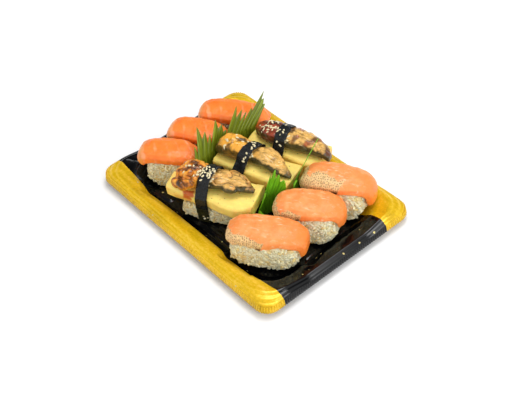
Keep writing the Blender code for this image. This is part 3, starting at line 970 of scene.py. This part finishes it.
def seared_finish():
    """Paler glossy flesh with pale streaks of fat and painted highlight, painted shade on its right
    end, and a seared band of skin with rows of burnt dots.
    """
    look = settings("fish")
    soft = {"Subsurface_Scale": 3.0 * MM, "Subsurface_Radius": (1.0, 0.45, 0.25)}
    finish = Finish("seared salmon", 0.34, Subsurface_Weight=0.25, **soft)
    lay = finish.lay()
    tone = finish.ramp(
        finish.noise(lay, 0.1, 3.0, 0.6),
        (0.32, scaled(look.seared, 0.9)),
        (0.5, look.seared),
        (0.7, scaled(look.seared, 1.1, 0.05)),
    )
    # Pale streaks in the fat's colour: fat lines and painted highlight dashes on the glossy flesh.
    streaks = finish.drawn_out(lay, (0.16, 0.5, 0.3), 1.0, 4.0, 0.65, 0.6)
    colour = finish.mix(finish.between(streaks, 0.55, 0.72), tone, look.fat_and_highlight)
    along = finish.split(lay)[0]
    # Darker patches at random, and painted shade over the slice's right end.
    shade_and_dark_patches = finish.between(finish.drawn_out(lay, (0.1, 0.3, 0.2), 1.0, 3.0), 0.55, 0.75) * 0.5
    shade_and_dark_patches = shade_and_dark_patches.or_more(finish.between(along, 12.0, 34.0))
    colour = finish.mix(shade_and_dark_patches, colour, look.shade_and_dark_patches)
    grid = finish.joint(along, finish.mask("rise"), 0.0)
    away, number = finish.cells(grid, 0.62, 0.55, "2D")
    dot = (1.0 - finish.between(away, 0.12, 0.4)) * finish.between(number, -0.3, 0.4)
    skin = finish.ramp(
        finish.noise(lay, 0.5, 3.0), (0.3, scaled(look.skin, 0.82)), (0.65, scaled(look.skin, 1.08))
    )
    skin = finish.mix(dot * 0.85, skin, look.char)
    skin = finish.mix(finish.mask("burnt"), skin, scaled(look.char, 0.35))
    sear = finish.mask("sear")
    finish.set(Base_Color=finish.mix(sear, colour, skin))
    finish.bump(finish.noise(lay, 0.9, 4.0, 0.6) - dot * sear * 0.6, 0.35)
    return finish


def rise_over_edge(own, wrap):
    """How far each point lies up and in from the near lower edge beside it."""
    bins = np.round(own[:, 0] / 2.0).astype(int)
    rise = np.full(len(own), 99.0)
    for value in np.unique(bins):
        here = (bins == value) & (own[:, 1] < 9.0)
        if here.any():
            inward = own[here, 1] - own[here, 1].min() - 2.5
            rise[here] = own[here, 2] - own[here, 2].min() + wrap * np.maximum(0.0, inward)
    return rise


def raw_mesh(number):
    """A raw slice with a thinner left edge."""
    lie = Lie(f"salmon_rice_{number}")
    mesh, own = fish_mesh(f"salmon_slice_{number}", lie, number)
    edge = smooth_step(-own[:, 0], lie.half[0] - 1.0, lie.half[0] + 3.5)
    carry(mesh, "edge", edge * 0.7)
    return mesh


def seared_mesh(number):
    """A seared slice whose near edge hangs, with its band of skin and its burnt tip marked."""
    lie = Lie(f"torched_rice_{number}")
    mesh, own = fish_mesh(f"torched_slice_{number}", lie, number + 10)
    sear = SEARS[number]
    hanging = 1.0 - smooth_step(rise_over_edge(own, 0.6), 1.0, 9.0)
    hanging *= np.exp(-(((own[:, 0] - sear.end) / DROP_REACH) ** 2))
    own[:, 2] -= sear.drop * hanging
    set_points(mesh, lie.world(own))
    height = rise_over_edge(own, sear.wrap)
    top = np.interp(own[:, 0], (-lie.half[0], sear.end), (sear.left, sear.right))
    top += 0.8 * lumps(own, 4.0, number)
    past = own[:, 0] - sear.end - 0.4 * height
    skin = 1.0 - smooth_step(height, top - 0.4, top + 0.4)
    skin = skin * (1.0 - smooth_step(past, -0.5, 0.5))
    carry(mesh, "sear", skin)
    carry(mesh, "rise", height)
    tip = (own[:, 0] - sear.end + 0.5) / sear.burnt, (height - 1.5) / (0.6 * sear.burnt)
    carry(mesh, "burnt", skin * (1.0 - smooth_step(np.hypot(*tip), 0.35, 1.1)))
    return mesh


class SUSHI_OT_fish(bpy.types.Operator):
    """Makes the raw and the seared slices of salmon"""

    bl_idname = "sushi.fish"
    bl_label = "Fish"

    def execute(self, context):
        raw, seared = raw_finish(), seared_finish()
        for number in ROWS:
            mesh, node = raw_mesh(number), f"salmon_slice_{number}"
            kept(f"raw_salmon_{number}", mesh, raw, "raw salmon", node)
            mesh, node = seared_mesh(number), f"torched_slice_{number}"
            kept(f"seared_salmon_{number}", mesh, seared, "seared salmon", node)
        return {"FINISHED"}


# ---------------------------------------------------------------- egg

EGG_VOXEL = 0.8
# A run of sauce down a slab's near side: its place along, its half width, and how high it ends.
DRIPS = ((-19.0, 3.8, 4.5), (-15.0, 2.5, 8.0))


def egg_finish():
    """Soft yellow omelette with browned edges, painted shade on its sides, a painted shadow at one
    corner, and tiny brown pits.
    """
    look = settings("egg")
    finish = Finish("rolled omelette", 0.45, Subsurface_Weight=0.2, Subsurface_Scale=3.0 * MM)
    lay = finish.lay()
    tone = finish.ramp(
        finish.noise(lay, 0.12, 4.0, 0.6),
        (0.3, scaled(look.yellow, 0.9)),
        (0.7, scaled(look.yellow, 1.08)),
    )
    layers = finish.drawn_out(lay, (0.05, 0.05, 0.9), 1.0, 3.0)
    brown = finish.mask("brown")
    brown = (brown * finish.between(layers, 0.2, 0.75)).or_more(brown * 0.45)
    colour = finish.mix(brown, tone, look.browned)
    away, number = finish.cells(lay, 0.3)
    pit = (away < 0.14) * (number > 0.7)
    colour = finish.mix(finish.mask("drip"), colour, look.sauce)
    finish.set(Base_Color=finish.mix(pit * 0.8, colour, scaled(look.browned, 0.35)))
    finish.bump(finish.noise(lay, 0.8, 4.0, 0.65) - pit, 0.3)
    return finish


def drips(own, bottom):
    """The thin red-brown sauce that ran down the first slab's near side, as a share from 0 to 1."""
    share = np.zeros(len(own))
    for along, half_width, end in DRIPS:
        away = np.abs(own[:, 0] - along + 1.5 * lumps(own, 3.5, 5)) / half_width
        low = smooth_step(own[:, 2] - bottom, end - 1.0, end + 1.0)
        share = np.maximum(share, (1.0 - smooth_step(away, 0.6, 1.1)) * low * (own[:, 1] < -4.0))
    return share


def browning_and_shade(mesh, own, half, number):
    """How brown each point of a slab is: low on its sides, at its left and at one corner. The sides
    are browned and carry painted shade towards their foot; the near right corner is a painted
    shadow over browning.
    """
    side = 1.0 - smooth_step(np.abs(normals_of(mesh)[:, 2]), 0.2, 0.8)
    bottom = own[:, 2].min()
    low = 1.0 - smooth_step(own[:, 2], bottom + 1.0, bottom + 8.0)
    left = smooth_step(-own[:, 0], half[0] - 7.0, half[0])
    patches = smooth_step(lumps(own, 9.0, number + 8), -0.1, 0.5)
    # The sides are brown, most towards their foot: browning and painted shade.
    brown = side * (0.3 + 0.7 * low) * (0.2 + patches) + 0.6 * left * side * (0.4 + patches)
    # Painted shadow over browning at the near right corner.
    corner = np.hypot(own[:, 0] - half[0] + 2.0, own[:, 1] + half[1] - 3.0)
    return np.clip(brown + 0.6 * (1.0 - smooth_step(corner, 2.0, 6.0)), 0.0, 1.0)


class SUSHI_OT_egg(bpy.types.Operator):
    """Makes the slabs of rolled omelette"""

    bl_idname = "sushi.egg"
    bl_label = "Egg"

    def execute(self, context):
        finish = egg_finish()
        for number in ROWS:
            node = f"egg_slab_{number}"
            lie = Lie(node)
            mesh = fine(node_mesh(node), EGG_VOXEL, 2)
            own = lie.own(points_of(mesh))
            pushed(mesh, 0.35 * lumps(own, 8.0, number) + 0.12 * lumps(own, 2.2, number))
            own = lie.own(points_of(mesh))
            carry(mesh, "brown", browning_and_shade(mesh, own, lie.half, number))
            carry(mesh, "drip", drips(own, own[:, 2].min()) if number == 1 else np.zeros(len(own)))
            carry(mesh, "lay", own)
            kept(f"egg_{number}", mesh, finish, "egg", node)
        return {"FINISHED"}


# ---------------------------------------------------------------- eel

EEL_VOXEL = 0.6
# Extra swellings of each fillet: along, across, height over the slab's top, and three half sizes.
EEL_SWELLS = {
    1: (
        (-26.0, -5.0, 8.0, 5.0, 4.5, 5.0),
        (-20.0, -7.5, 9.0, 5.5, 4.5, 5.5),
        (-14.5, -6.0, 10.5, 4.5, 4.5, 4.5),
        (-24.0, 1.5, 12.5, 4.5, 5.0, 4.0),
        (-17.5, 1.0, 14.5, 5.0, 4.5, 4.0),
        (-26.5, 6.0, 8.5, 4.5, 4.0, 4.0),
        (6.0, 2.5, 7.5, 7.0, 5.0, 3.5),
        (16.0, -1.0, 6.0, 7.0, 4.0, 3.5),
    ),
    2: (
        (-24.0, 1.0, 7.5, 9.0, 7.0, 5.0),
        (8.0, 3.5, 8.0, 7.0, 4.0, 4.0),
        (14.0, -3.0, 6.5, 9.0, 3.5, 3.5),
    ),
    3: (
        (8.0, 4.5, 9.0, 6.0, 4.5, 4.0),
        (16.5, 3.0, 8.5, 5.0, 4.5, 4.5),
        (10.0, -3.5, 8.0, 6.5, 3.5, 4.0),
        (24.0, 0.5, 7.0, 5.5, 4.0, 3.5),
    ),
}
# How deep each fillet's creases go, how much of it is glazed in patches, and how far its left part
# hides the skin.
CREASES = {1: 1.2, 2: 0.5, 3: 0.8}
GLAZED = {1: 0.4, 2: 0.4, 3: 0.8}
SKIN_HIDDEN = {1: 0.8, 2: 0.3, 3: 0.3}


def slab_top(number):
    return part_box(f"egg_slab_{number}")[1].z / MM


def shares_of(own):
    """How far across and how far up its own part of a fillet each point lies, from 0 to 1."""
    bins = np.round(own[:, 0] / 3.0).astype(int)
    share = np.zeros((len(own), 2))
    for value in np.unique(bins):
        here = bins == value
        low, high = own[here, 1:].min(axis=0), own[here, 1:].max(axis=0)
        share[here] = (own[here, 1:] - low) / (high - low)
    return share.T


def eel_finish(number):
    """Grilled eel: sticky glaze in one colour, pale flesh where it is bare, grey skin below,
    painted shade in its creases and a darker right tip.
    """
    look = settings("eel")
    glazed = {1: look.caramel, 2: look.golden, 3: look.red_brown}[number]
    bright = scaled(look.red_brown, 2.6) if number == 3 else look.amber
    shine = {"Specular_IOR_Level": 0.15, "Coat_Weight": 0.5, "Coat_Roughness": 0.05}
    finish = Finish(f"grilled eel {number}", 0.3, **shine)
    lay = finish.lay()
    glaze = finish.ramp(
        finish.noise(lay, 0.11, 3.0, 0.6, 0.6),
        (0.32, scaled(glazed, 0.06)),
        (0.42, scaled(glazed, 0.4)),
        (0.5, glazed),
        (0.64, bright),
    )
    streaks = finish.drawn_out(lay, (0.12, 0.5, 0.5), 1.0, 4.0, 0.65, 0.8)
    flesh = finish.ramp(
        streaks,
        (0.34, scaled(look.flesh, 0.25)),
        (0.42, scaled(look.flesh, 0.7)),
        (0.53, look.flesh),
        (0.75, scaled(look.flesh, 1.2, 0.03)),
    )
    colour = finish.mix(finish.mask("glaze"), flesh, glaze)
    # Painted shade in the creases, and a darker right tip.
    colour = finish.mix(finish.mask("shade_and_dark_patches"), colour, scaled(glazed, 0.06))
    skin = finish.ramp(
        streaks, (0.3, scaled(look.skin, 0.25)), (0.5, look.skin), (0.7, scaled(look.skin, 1.6))
    )
    finish.set(Base_Color=finish.mix(finish.mask("under"), colour, skin))
    finish.bump(finish.noise(lay, 0.8, 5.0, 0.6, 0.5), 0.5)
    return finish


def swollen(mesh, lie, number):
    """Joins a fillet's swellings to its mesh, as ellipsoids."""
    with building(mesh) as build:
        for along, across, rise, *half_sizes in EEL_SWELLS[number]:
            middle = lie.world([(along, across, slab_top(number) + rise)])[0] * MM
            size = Matrix.Diagonal((*(value * MM for value in half_sizes), 1.0))
            matrix = Matrix.Translation(middle) @ Matrix.Rotation(lie.yaw, 4, "Z") @ size
            bmesh.ops.create_icosphere(build, subdivisions=3, radius=1.0, matrix=matrix)
    return mesh


def eel_mesh(number, lie):
    """A fillet with its swellings joined on, lumpy and creased, and the depth of its relief."""
    mesh = fine(swollen(node_mesh(f"eel_{number}"), lie, number), EEL_VOXEL, 3)
    own = lie.own(points_of(mesh))
    upper = smooth_step(normals_of(mesh)[:, 2], -0.2, 0.4)
    creases = np.abs(lumps(own * (0.8, 1.0, 1.0), 7.0, number + 7))
    creases = 0.3 - np.maximum(0.0, 1.0 - creases / 0.22)
    small = lumps(own, 2.4, number)
    relief = 0.5 * lumps(own, 6.0, number + 2) + CREASES[number] * creases + 0.2 * small
    relief = upper * relief
    pushed(mesh, relief)
    return mesh, relief


class SUSHI_OT_eel(bpy.types.Operator):
    """Makes the grilled eel fillets"""

    bl_idname = "sushi.eel"
    bl_label = "Eel"

    def execute(self, context):
        for number in ROWS:
            lie = Lie(f"egg_slab_{number}")
            mesh, relief = eel_mesh(number, lie)
            own = lie.own(points_of(mesh))
            carry(mesh, "lay", own)
            left = 1.0 - smooth_step(own[:, 0], -8.0, 0.0)
            patch = smooth_step(lumps(own, 7.0, number + 4), 0.0, 0.4)
            tip = smooth_step(own[:, 0], own[:, 0].max() - 9.0, own[:, 0].max() - 2.0)
            carry(mesh, "glaze", np.clip(left + GLAZED[number] * patch, 0.0, 1.0))
            # Painted shade in the creases, and a darker right tip.
            crease_shade = smooth_step(-relief, 0.25, 0.9)
            carry(mesh, "shade_and_dark_patches", np.clip(crease_shade * 0.8 + 0.7 * tip, 0.0, 1.0))
            across, up = shares_of(own)
            low = 1.0 - smooth_step(up + 0.12 * lumps(own, 5.0, number), 0.66, 0.82)
            low *= 1.0 - smooth_step(across, 0.3, 0.5)
            carry(mesh, "under", low * (1.0 - SKIN_HIDDEN[number] * left))
            kept(f"grilled_eel_{number}", mesh, eel_finish(number), "eel", f"eel_{number}")
        return {"FINISHED"}


# ---------------------------------------------------------------- seaweed

BAND_CUTS = 5
BAND_RAGGED = 0.5
BAND_CORE = 12.0
BAND_DULL = (shade(16, 18, 8), shade(66, 64, 26))


def seaweed_finish():
    """Near-black dried seaweed with a fine crinkle and bluish shine, duller below."""
    look = settings("seaweed")
    shine = {"Specular_IOR_Level": 0.15, "Coat_Weight": 0.35, "Coat_Roughness": 0.08}
    finish = Finish("dried seaweed", 0.3, **shine)
    lay = finish.lay()
    mottle = finish.noise(lay, 0.5, 4.0, 0.7)
    dull = 1.0 - finish.between(finish.split(lay)[2], 12.0, 19.0)
    dark, pale = scaled(look.colour, 0.4), scaled(look.colour, 2.2)
    upper = finish.ramp(mottle, (0.4, dark), (0.7, pale))
    lower = finish.ramp(mottle, *zip((0.3, 0.75), BAND_DULL))
    finish.set(Base_Color=finish.mix(dull, upper, lower), Roughness=dull * 0.25 + 0.2)
    finish.bump(finish.noise(lay, 0.45, 4.0, 0.6, 0.8), 1.6)
    return finish


def band_mesh(number, lie):
    """A strip with folds across it and uneven edges."""
    mesh = node_mesh(f"seaweed_band_{number}")
    with building(mesh) as build:
        bmesh.ops.subdivide_edges(build, edges=build.edges, cuts=BAND_CUTS, use_grid_fill=True)
    own = lie.own(points_of(mesh))
    middle = own[:, 0].mean()
    edge = (own[:, 0] - middle) / np.abs(own[:, 0] - middle).max()
    outward = own[:, 1:] - (own[:, 1].mean(), BAND_CORE)
    outward /= np.linalg.norm(outward, axis=1)[:, None]
    across = lumps(own * (0.4, 1.0, 1.0), 2.0, number + 5)
    crinkle = settings("seaweed").crinkle / MM
    fold = crinkle * (lumps(own, 3.2, number, 2) + 0.6 * across)
    fold *= smooth_step(own[:, 2], 3.0, 8.0)
    own[:, 1:] += outward * fold[:, None]
    ragged = BAND_RAGGED * lumps(own * (0.0, 1.0, 1.0), 4.0, number + 9) - 0.3
    own[:, 0] += edge * ragged
    set_points(mesh, lie.world(own))
    carry(mesh, "lay", own)
    return mesh


class SUSHI_OT_seaweed(bpy.types.Operator):
    """Makes the strips of dried seaweed"""

    bl_idname = "sushi.seaweed"
    bl_label = "Seaweed"

    def execute(self, context):
        finish = seaweed_finish()
        for number in ROWS:
            mesh = band_mesh(number, Lie(f"egg_slab_{number}"))
            kept(f"seaweed_{number}", mesh, finish, "seaweed", f"seaweed_band_{number}")
        return {"FINISHED"}


# ---------------------------------------------------------------- sesame

# Where seeds lie thick on a nigiri: along, across, radius and how many of the places are taken.
SEED_PATCHES = {
    1: ((-4.0, 4.0, 8.0, 0.95), (-8.0, 0.0, 6.0, 0.5), (-18.0, 3.0, 8.0, 0.15)),
    2: ((-8.0, 5.0, 7.0, 0.5), (-5.0, -3.0, 6.0, 0.35), (-22.0, 3.0, 9.0, 0.12)),
    3: ((-4.0, 2.0, 9.0, 0.75), (-16.0, 4.0, 11.0, 0.45), (-1.0, -6.0, 7.0, 0.5)),
}
SEED_THICKNESS = 0.8
SEED_STEEPEST = 0.35


def seed_finish():
    look = settings("seeds")
    finish = Finish("sesame seeds", 0.4)
    stops = (0.0, scaled(look.colour, 0.8)), (1.0, look.colour)
    finish.set(Base_Color=finish.ramp(finish.mask("tone"), *stops))
    finish.bump(finish.noise(finish.place(), 1200.0, 2.0), 0.06)
    return finish


def seed_bed(number):
    """The surface of a nigiri's eel and seaweed, with the share of places that take a seed."""
    pieces = (f"grilled_eel_{number}", f"seaweed_{number}")
    bed = joined([bpy.data.objects[piece].data for piece in pieces])
    own = Lie(f"egg_slab_{number}").own(points_of(bed))
    taken = np.zeros(len(own))
    for along, across, radius, share in SEED_PATCHES[number]:
        away = np.hypot(own[:, 0] - along, own[:, 1] - across)
        taken = np.maximum(taken, share * (1.0 - smooth_step(away, 0.6 * radius, radius)))
    taken *= (normals_of(bed)[:, 2] > SEED_STEEPEST) & (own[:, 2] > slab_top(number))
    carry(bed, "cover", taken)
    return bed


class SUSHI_OT_sesame(bpy.types.Operator):
    """Scatters sesame seeds over the eel and the seaweed"""

    bl_idname = "sushi.sesame"
    bl_label = "Sesame"

    def execute(self, context):
        look, finish = settings("seeds"), seed_finish()
        beds = joined([seed_bed(number) for number in ROWS])
        sizes = (look.seed_length, look.seed_width, SEED_THICKNESS * MM, look.spacing, look.seed)
        seeds = grown(beds, scatter("Sesame seeds", *sizes), finish)
        kept("sesame_seeds", seeds, finish, "eel")
        return {"FINISHED"}


# ---------------------------------------------------------------- dividers

# A divider stands upright on its foot line up to the knee, then leans towards its top line. Both
# lines are curves with these control points, in plan. Each blade of its upper edge has the place of
# its tip along the divider, its height, and the height of the notch after it. The rounder, the
# broader the blades are.
Divider = namedtuple("Divider", "foot top knee round blades")
DIVIDERS = {
    "divider_left": Divider(
        ((-36.0, -26.5), (-42.0, -8.0), (-43.5, 8.0), (-46.0, 24.0), (-39.3, 40.5)),
        ((-48.0, -20.0), (-51.0, 3.0), (-48.0, 23.0), (-49.0, 46.0), (-42.5, 69.0)),
        28.0,
        1.1,
        (
            (0.035, 40.6, 34.0),
            (0.094, 52.6, 41.5),
            (0.188, 45.6, 35.5),
            (0.255, 41.5, 33.0),
            (0.315, 49.4, 41.2),
            (0.41, 43.2, 36.0),
            (0.5, 37.0, 31.0),
            (0.56, 50.8, 41.0),
            (0.655, 46.0, 36.5),
            (0.735, 42.5, 34.0),
            (0.79, 43.2, 40.4),
            (0.85, 52.2, 46.0),
            (0.9, 46.5, 42.0),
            (0.96, 42.0, 30.0),
        ),
    ),
    "divider_right_front": Divider(
        ((36.5, -23.0), (16.0, -8.0), (28.0, 7.0)),
        ((61.0, -8.0), (-6.0, 12.0), (50.0, 9.5)),
        15.0,
        1.3,
        (
            (0.1, 20.0, 17.0),
            (0.3, 30.0, 25.0),
            (0.5, 40.6, 35.0),
            (0.68, 44.0, 35.5),
            (0.79, 41.0, 34.0),
            (0.9, 38.0, 28.0),
        ),
    ),
    "divider_right_back": Divider(
        ((38.5, 13.8), (33.5, 15.5), (30.5, 25.5)),
        ((36.5, 36.0), (34.0, 38.0), (32.0, 42.0)),
        28.0,
        2.4,
        ((0.12, 32.0, 27.0), (0.55, 57.0, 27.0)),
    ),
}
DIVIDER_TOP = 50.0
DIVIDER_END = 24.0
DIVIDER_FLOOR = 1.2
NOTCH_PLACE = 0.62
BLADE_COLUMNS = 9
DIVIDER_ROWS = 22
CREASE = 0.35
CREASE_START = 20.0


def curve_point(controls, share):
    """A point of the Bezier curve with these control points."""
    points = np.array(controls, float)
    while len(points) > 1:
        points = points[:-1] + (points[1:] - points[:-1]) * share
    return points[0]


def divider_edge(blades, roundness):
    """The upper edge as rows of place, height and the distance from the blade's own middle."""
    tips, heights, notches = zip(*blades)
    starts = [tip + NOTCH_PLACE * (after - tip) for tip, after in zip(tips, tips[1:])]
    starts, notches = [0.0, *starts, 1.0], [DIVIDER_END, *notches]
    edge = []
    for number, (tip, tall) in enumerate(zip(tips, heights)):
        for rising, first, last, low in (
            (True, starts[number], tip, notches[number]),
            (False, tip, starts[number + 1], notches[number + 1]),
        ):
            for share in np.linspace(0.0, 1.0, BLADE_COLUMNS, endpoint=False):
                side = 1.0 - share if rising else share
                height = low + (tall - low) * (1.0 - side**roundness)
                edge.append((first + (last - first) * share, height, side))
    return [*edge, (1.0, notches[-1], 1.0)]


def divider_mesh(divider):
    """A film pressed into long blades."""
    edge = divider_edge(divider.blades, divider.round)
    points, streaks = [], []
    for row in np.linspace(0.0, 1.0, DIVIDER_ROWS):
        for share, top, side in edge:
            height = row * top
            lean = max(0.0, height - divider.knee) / (DIVIDER_TOP - divider.knee)
            foot = curve_point(divider.foot, min(share, 1.0))
            head = curve_point(divider.top, min(share, 1.0))
            points.append((*(foot + (head - foot) * lean), DIVIDER_FLOOR + height))
            streaks.append((share, height, side))
    mesh = grid_mesh(points, DIVIDER_ROWS, len(edge))
    carry(mesh, "blade", streaks)
    _, height, side = np.array(streaks).T
    pushed(mesh, CREASE * (1.0 - side) * np.clip(height / CREASE_START, 0.0, 1.0))
    return solid_sheet(mesh, settings("dividers").thickness / MM, 1.0)


def divider_finish(name, green):
    """Green plastic film with streaks that run up its blades, and painted shade at its foot and in
    the folds between its blades.
    """
    finish = Finish(name, 0.38)
    blade = finish.lay("blade")
    _, height, side = finish.split(blade)
    fibres = finish.drawn_out(blade, (160.0, 0.06, 0.0), 1.0, 3.0)
    tone = finish.ramp(
        fibres, (0.32, scaled(green, 0.4)), (0.5, green), (0.66, scaled(green, 1.9, 0.03))
    )
    # Painted shade at the foot and in the folds between the blades.
    foot_shade = (1.0 - finish.between(height, 5.0, 30.0)) * 0.5
    dark = foot_shade.or_more(finish.between(side, 0.6, 1.0) * 0.55)
    finish.set(Base_Color=finish.mix(dark, tone, scaled(green, 0.3)))
    finish.bump(fibres, 0.15)
    return finish


class SUSHI_OT_dividers(bpy.types.Operator):
    """Makes the green grass dividers"""

    bl_idname = "sushi.dividers"
    bl_label = "Dividers"

    def execute(self, context):
        look = settings("dividers")
        for name, divider in DIVIDERS.items():
            green = look.olive if name == "divider_left" else look.bright
            finish = divider_finish(name + " film", green)
            kept("grass_" + name, divider_mesh(divider), finish, "divider plastic", name)
        return {"FINISHED"}


# ---------------------------------------------------------------- stage

CAMERA_AZIMUTH = math.radians(53.90)
CAMERA_ELEVATION = math.radians(44.57)
CAMERA_ROLL = math.radians(-6.36)
CAMERA_DISTANCE = 856.1
CAMERA_SHIFT = (3.91, -5.23)
CAMERA_AIM_HEIGHT = 5.4
CAMERA_LENS = 73.83
FLOOR_HALF = 1500.0
LIGHT_AIM = Vector((0.0, 0.0, 0.02))
# One side of the studio is dark, so that the black floor stays black. Its direction, and how bright
# the studio is by nearness to it.
DARK_WALL = (-0.576, 0.42, 0.70)
SKY = ((0.7, 1.0), (0.86, 0.3), (0.95, 0.08))


def camera_axes():
    """The camera's right, up and backward directions."""
    flat = math.cos(CAMERA_ELEVATION)
    sine, cosine = math.sin(CAMERA_AZIMUTH), math.cos(CAMERA_AZIMUTH)
    back = Vector((sine * flat, -cosine * flat, math.sin(CAMERA_ELEVATION)))
    level = Vector((cosine, sine, 0.0))
    upright = back.cross(level)
    right = level * math.cos(CAMERA_ROLL) + upright * math.sin(CAMERA_ROLL)
    up = upright * math.cos(CAMERA_ROLL) - level * math.sin(CAMERA_ROLL)
    return right, up, back


def add_camera():
    right, up, back = camera_axes()
    camera = placed("camera", bpy.data.cameras.new("camera"))
    camera.data.lens = CAMERA_LENS
    camera.data.sensor_width = 36.0
    camera.data.clip_end = 20.0
    camera.matrix_world = Matrix((right, up, back)).transposed().to_4x4()
    place = right * CAMERA_SHIFT[0] + up * CAMERA_SHIFT[1] + back * CAMERA_DISTANCE
    camera.location = (place + Vector((0.0, 0.0, CAMERA_AIM_HEIGHT))) * MM
    bpy.context.scene.camera = camera


def add_area(name, location, size, watts):
    light = placed(name, bpy.data.lights.new(name, "AREA"))
    light.data.shape = "RECTANGLE"
    light.data.size, light.data.size_y = size
    light.data.energy = watts
    light.location = location
    aim = LIGHT_AIM - Vector(location)
    light.rotation_euler = aim.to_track_quat("-Z", "Y").to_euler()


def add_studio(fill):
    """Light all round, but for a dark side."""
    world = bpy.data.worlds.new("studio")
    world.use_nodes = True
    nodes = Nodes(world.node_tree)
    place = nodes.node("Generated", "ShaderNodeTexCoord")
    nearness = nodes.vectors("DOT_PRODUCT", place, DARK_WALL, "Value")
    sky = nodes.ramp(nearness, *((place, (strength,) * 3) for place, strength in SKY))
    background = world.node_tree.nodes["Background"]
    feed(background.inputs["Color"], sky)
    feed(background.inputs["Strength"], fill)
    bpy.context.scene.world = world


class SUSHI_OT_stage(bpy.types.Operator):
    """Adds the floor, the lights and the camera"""

    bl_idname = "sushi.stage"
    bl_label = "Stage"

    def execute(self, context):
        look = settings("stage")
        add_studio(look.fill)
        corners = [(x * FLOOR_HALF, y * FLOOR_HALF, 0.0) for y in (-1, 1) for x in (-1, 1)]
        finish = Finish("floor", 0.9, Base_Color=look.floor)
        linked("floor", grid_mesh(corners, 2, 2), finish)
        add_area("key", (-0.1, 0.25, 0.9), (0.5, 0.4), look.key)
        add_area("side", (0.8, 0.05, 0.45), (0.6, 0.5), look.side)
        add_camera()
        context.scene.view_settings.view_transform = "Standard"
        return {"FINISHED"}


# ---------------------------------------------------------------- panel and registering


class SUSHI_PT_panel(bpy.types.Panel):
    """Lists the tray's pieces in the sidebar"""

    bl_idname = "SUSHI_PT_panel"
    bl_label = "Sushi tray"
    bl_space_type = "VIEW_3D"
    bl_region_type = "UI"
    bl_category = "Sushi"

    def draw(self, context):
        for operator in OPERATORS:
            self.layout.operator(operator.bl_idname)
        for name, group in SETTINGS.items():
            box = self.layout.box()
            box.label(text=name.capitalize())
            for setting in group.__annotations__:
                box.prop(settings(name), setting)


SETTINGS = {
    "tray": TraySettings,
    "rice": RiceSettings,
    "fish": FishSettings,
    "egg": EggSettings,
    "eel": EelSettings,
    "seaweed": SeaweedSettings,
    "seeds": SeedSettings,
    "dividers": DividerSettings,
    "stage": StageSettings,
}
OPERATORS = (
    SUSHI_OT_stage,
    SUSHI_OT_tray,
    SUSHI_OT_rice,
    SUSHI_OT_fish,
    SUSHI_OT_egg,
    SUSHI_OT_eel,
    SUSHI_OT_seaweed,
    SUSHI_OT_sesame,
    SUSHI_OT_dividers,
)


def register():
    for name, group in SETTINGS.items():
        bpy.utils.register_class(group)
        setattr(bpy.types.Scene, "sushi_" + name, PointerProperty(type=group))
    for operator in OPERATORS:
        bpy.utils.register_class(operator)
    bpy.utils.register_class(SUSHI_PT_panel)


def unregister():
    bpy.utils.unregister_class(SUSHI_PT_panel)
    for operator in reversed(OPERATORS):
        bpy.utils.unregister_class(operator)
    for name, group in SETTINGS.items():
        delattr(bpy.types.Scene, "sushi_" + name)
        bpy.utils.unregister_class(group)


def main():
    register()
    bpy.ops.sushi.stage()
    bpy.ops.sushi.tray()
    bpy.ops.sushi.rice()
    bpy.ops.sushi.fish()
    bpy.ops.sushi.egg()
    bpy.ops.sushi.eel()
    bpy.ops.sushi.seaweed()
    bpy.ops.sushi.sesame()
    bpy.ops.sushi.dividers()


if __name__ == "__main__":
    main()
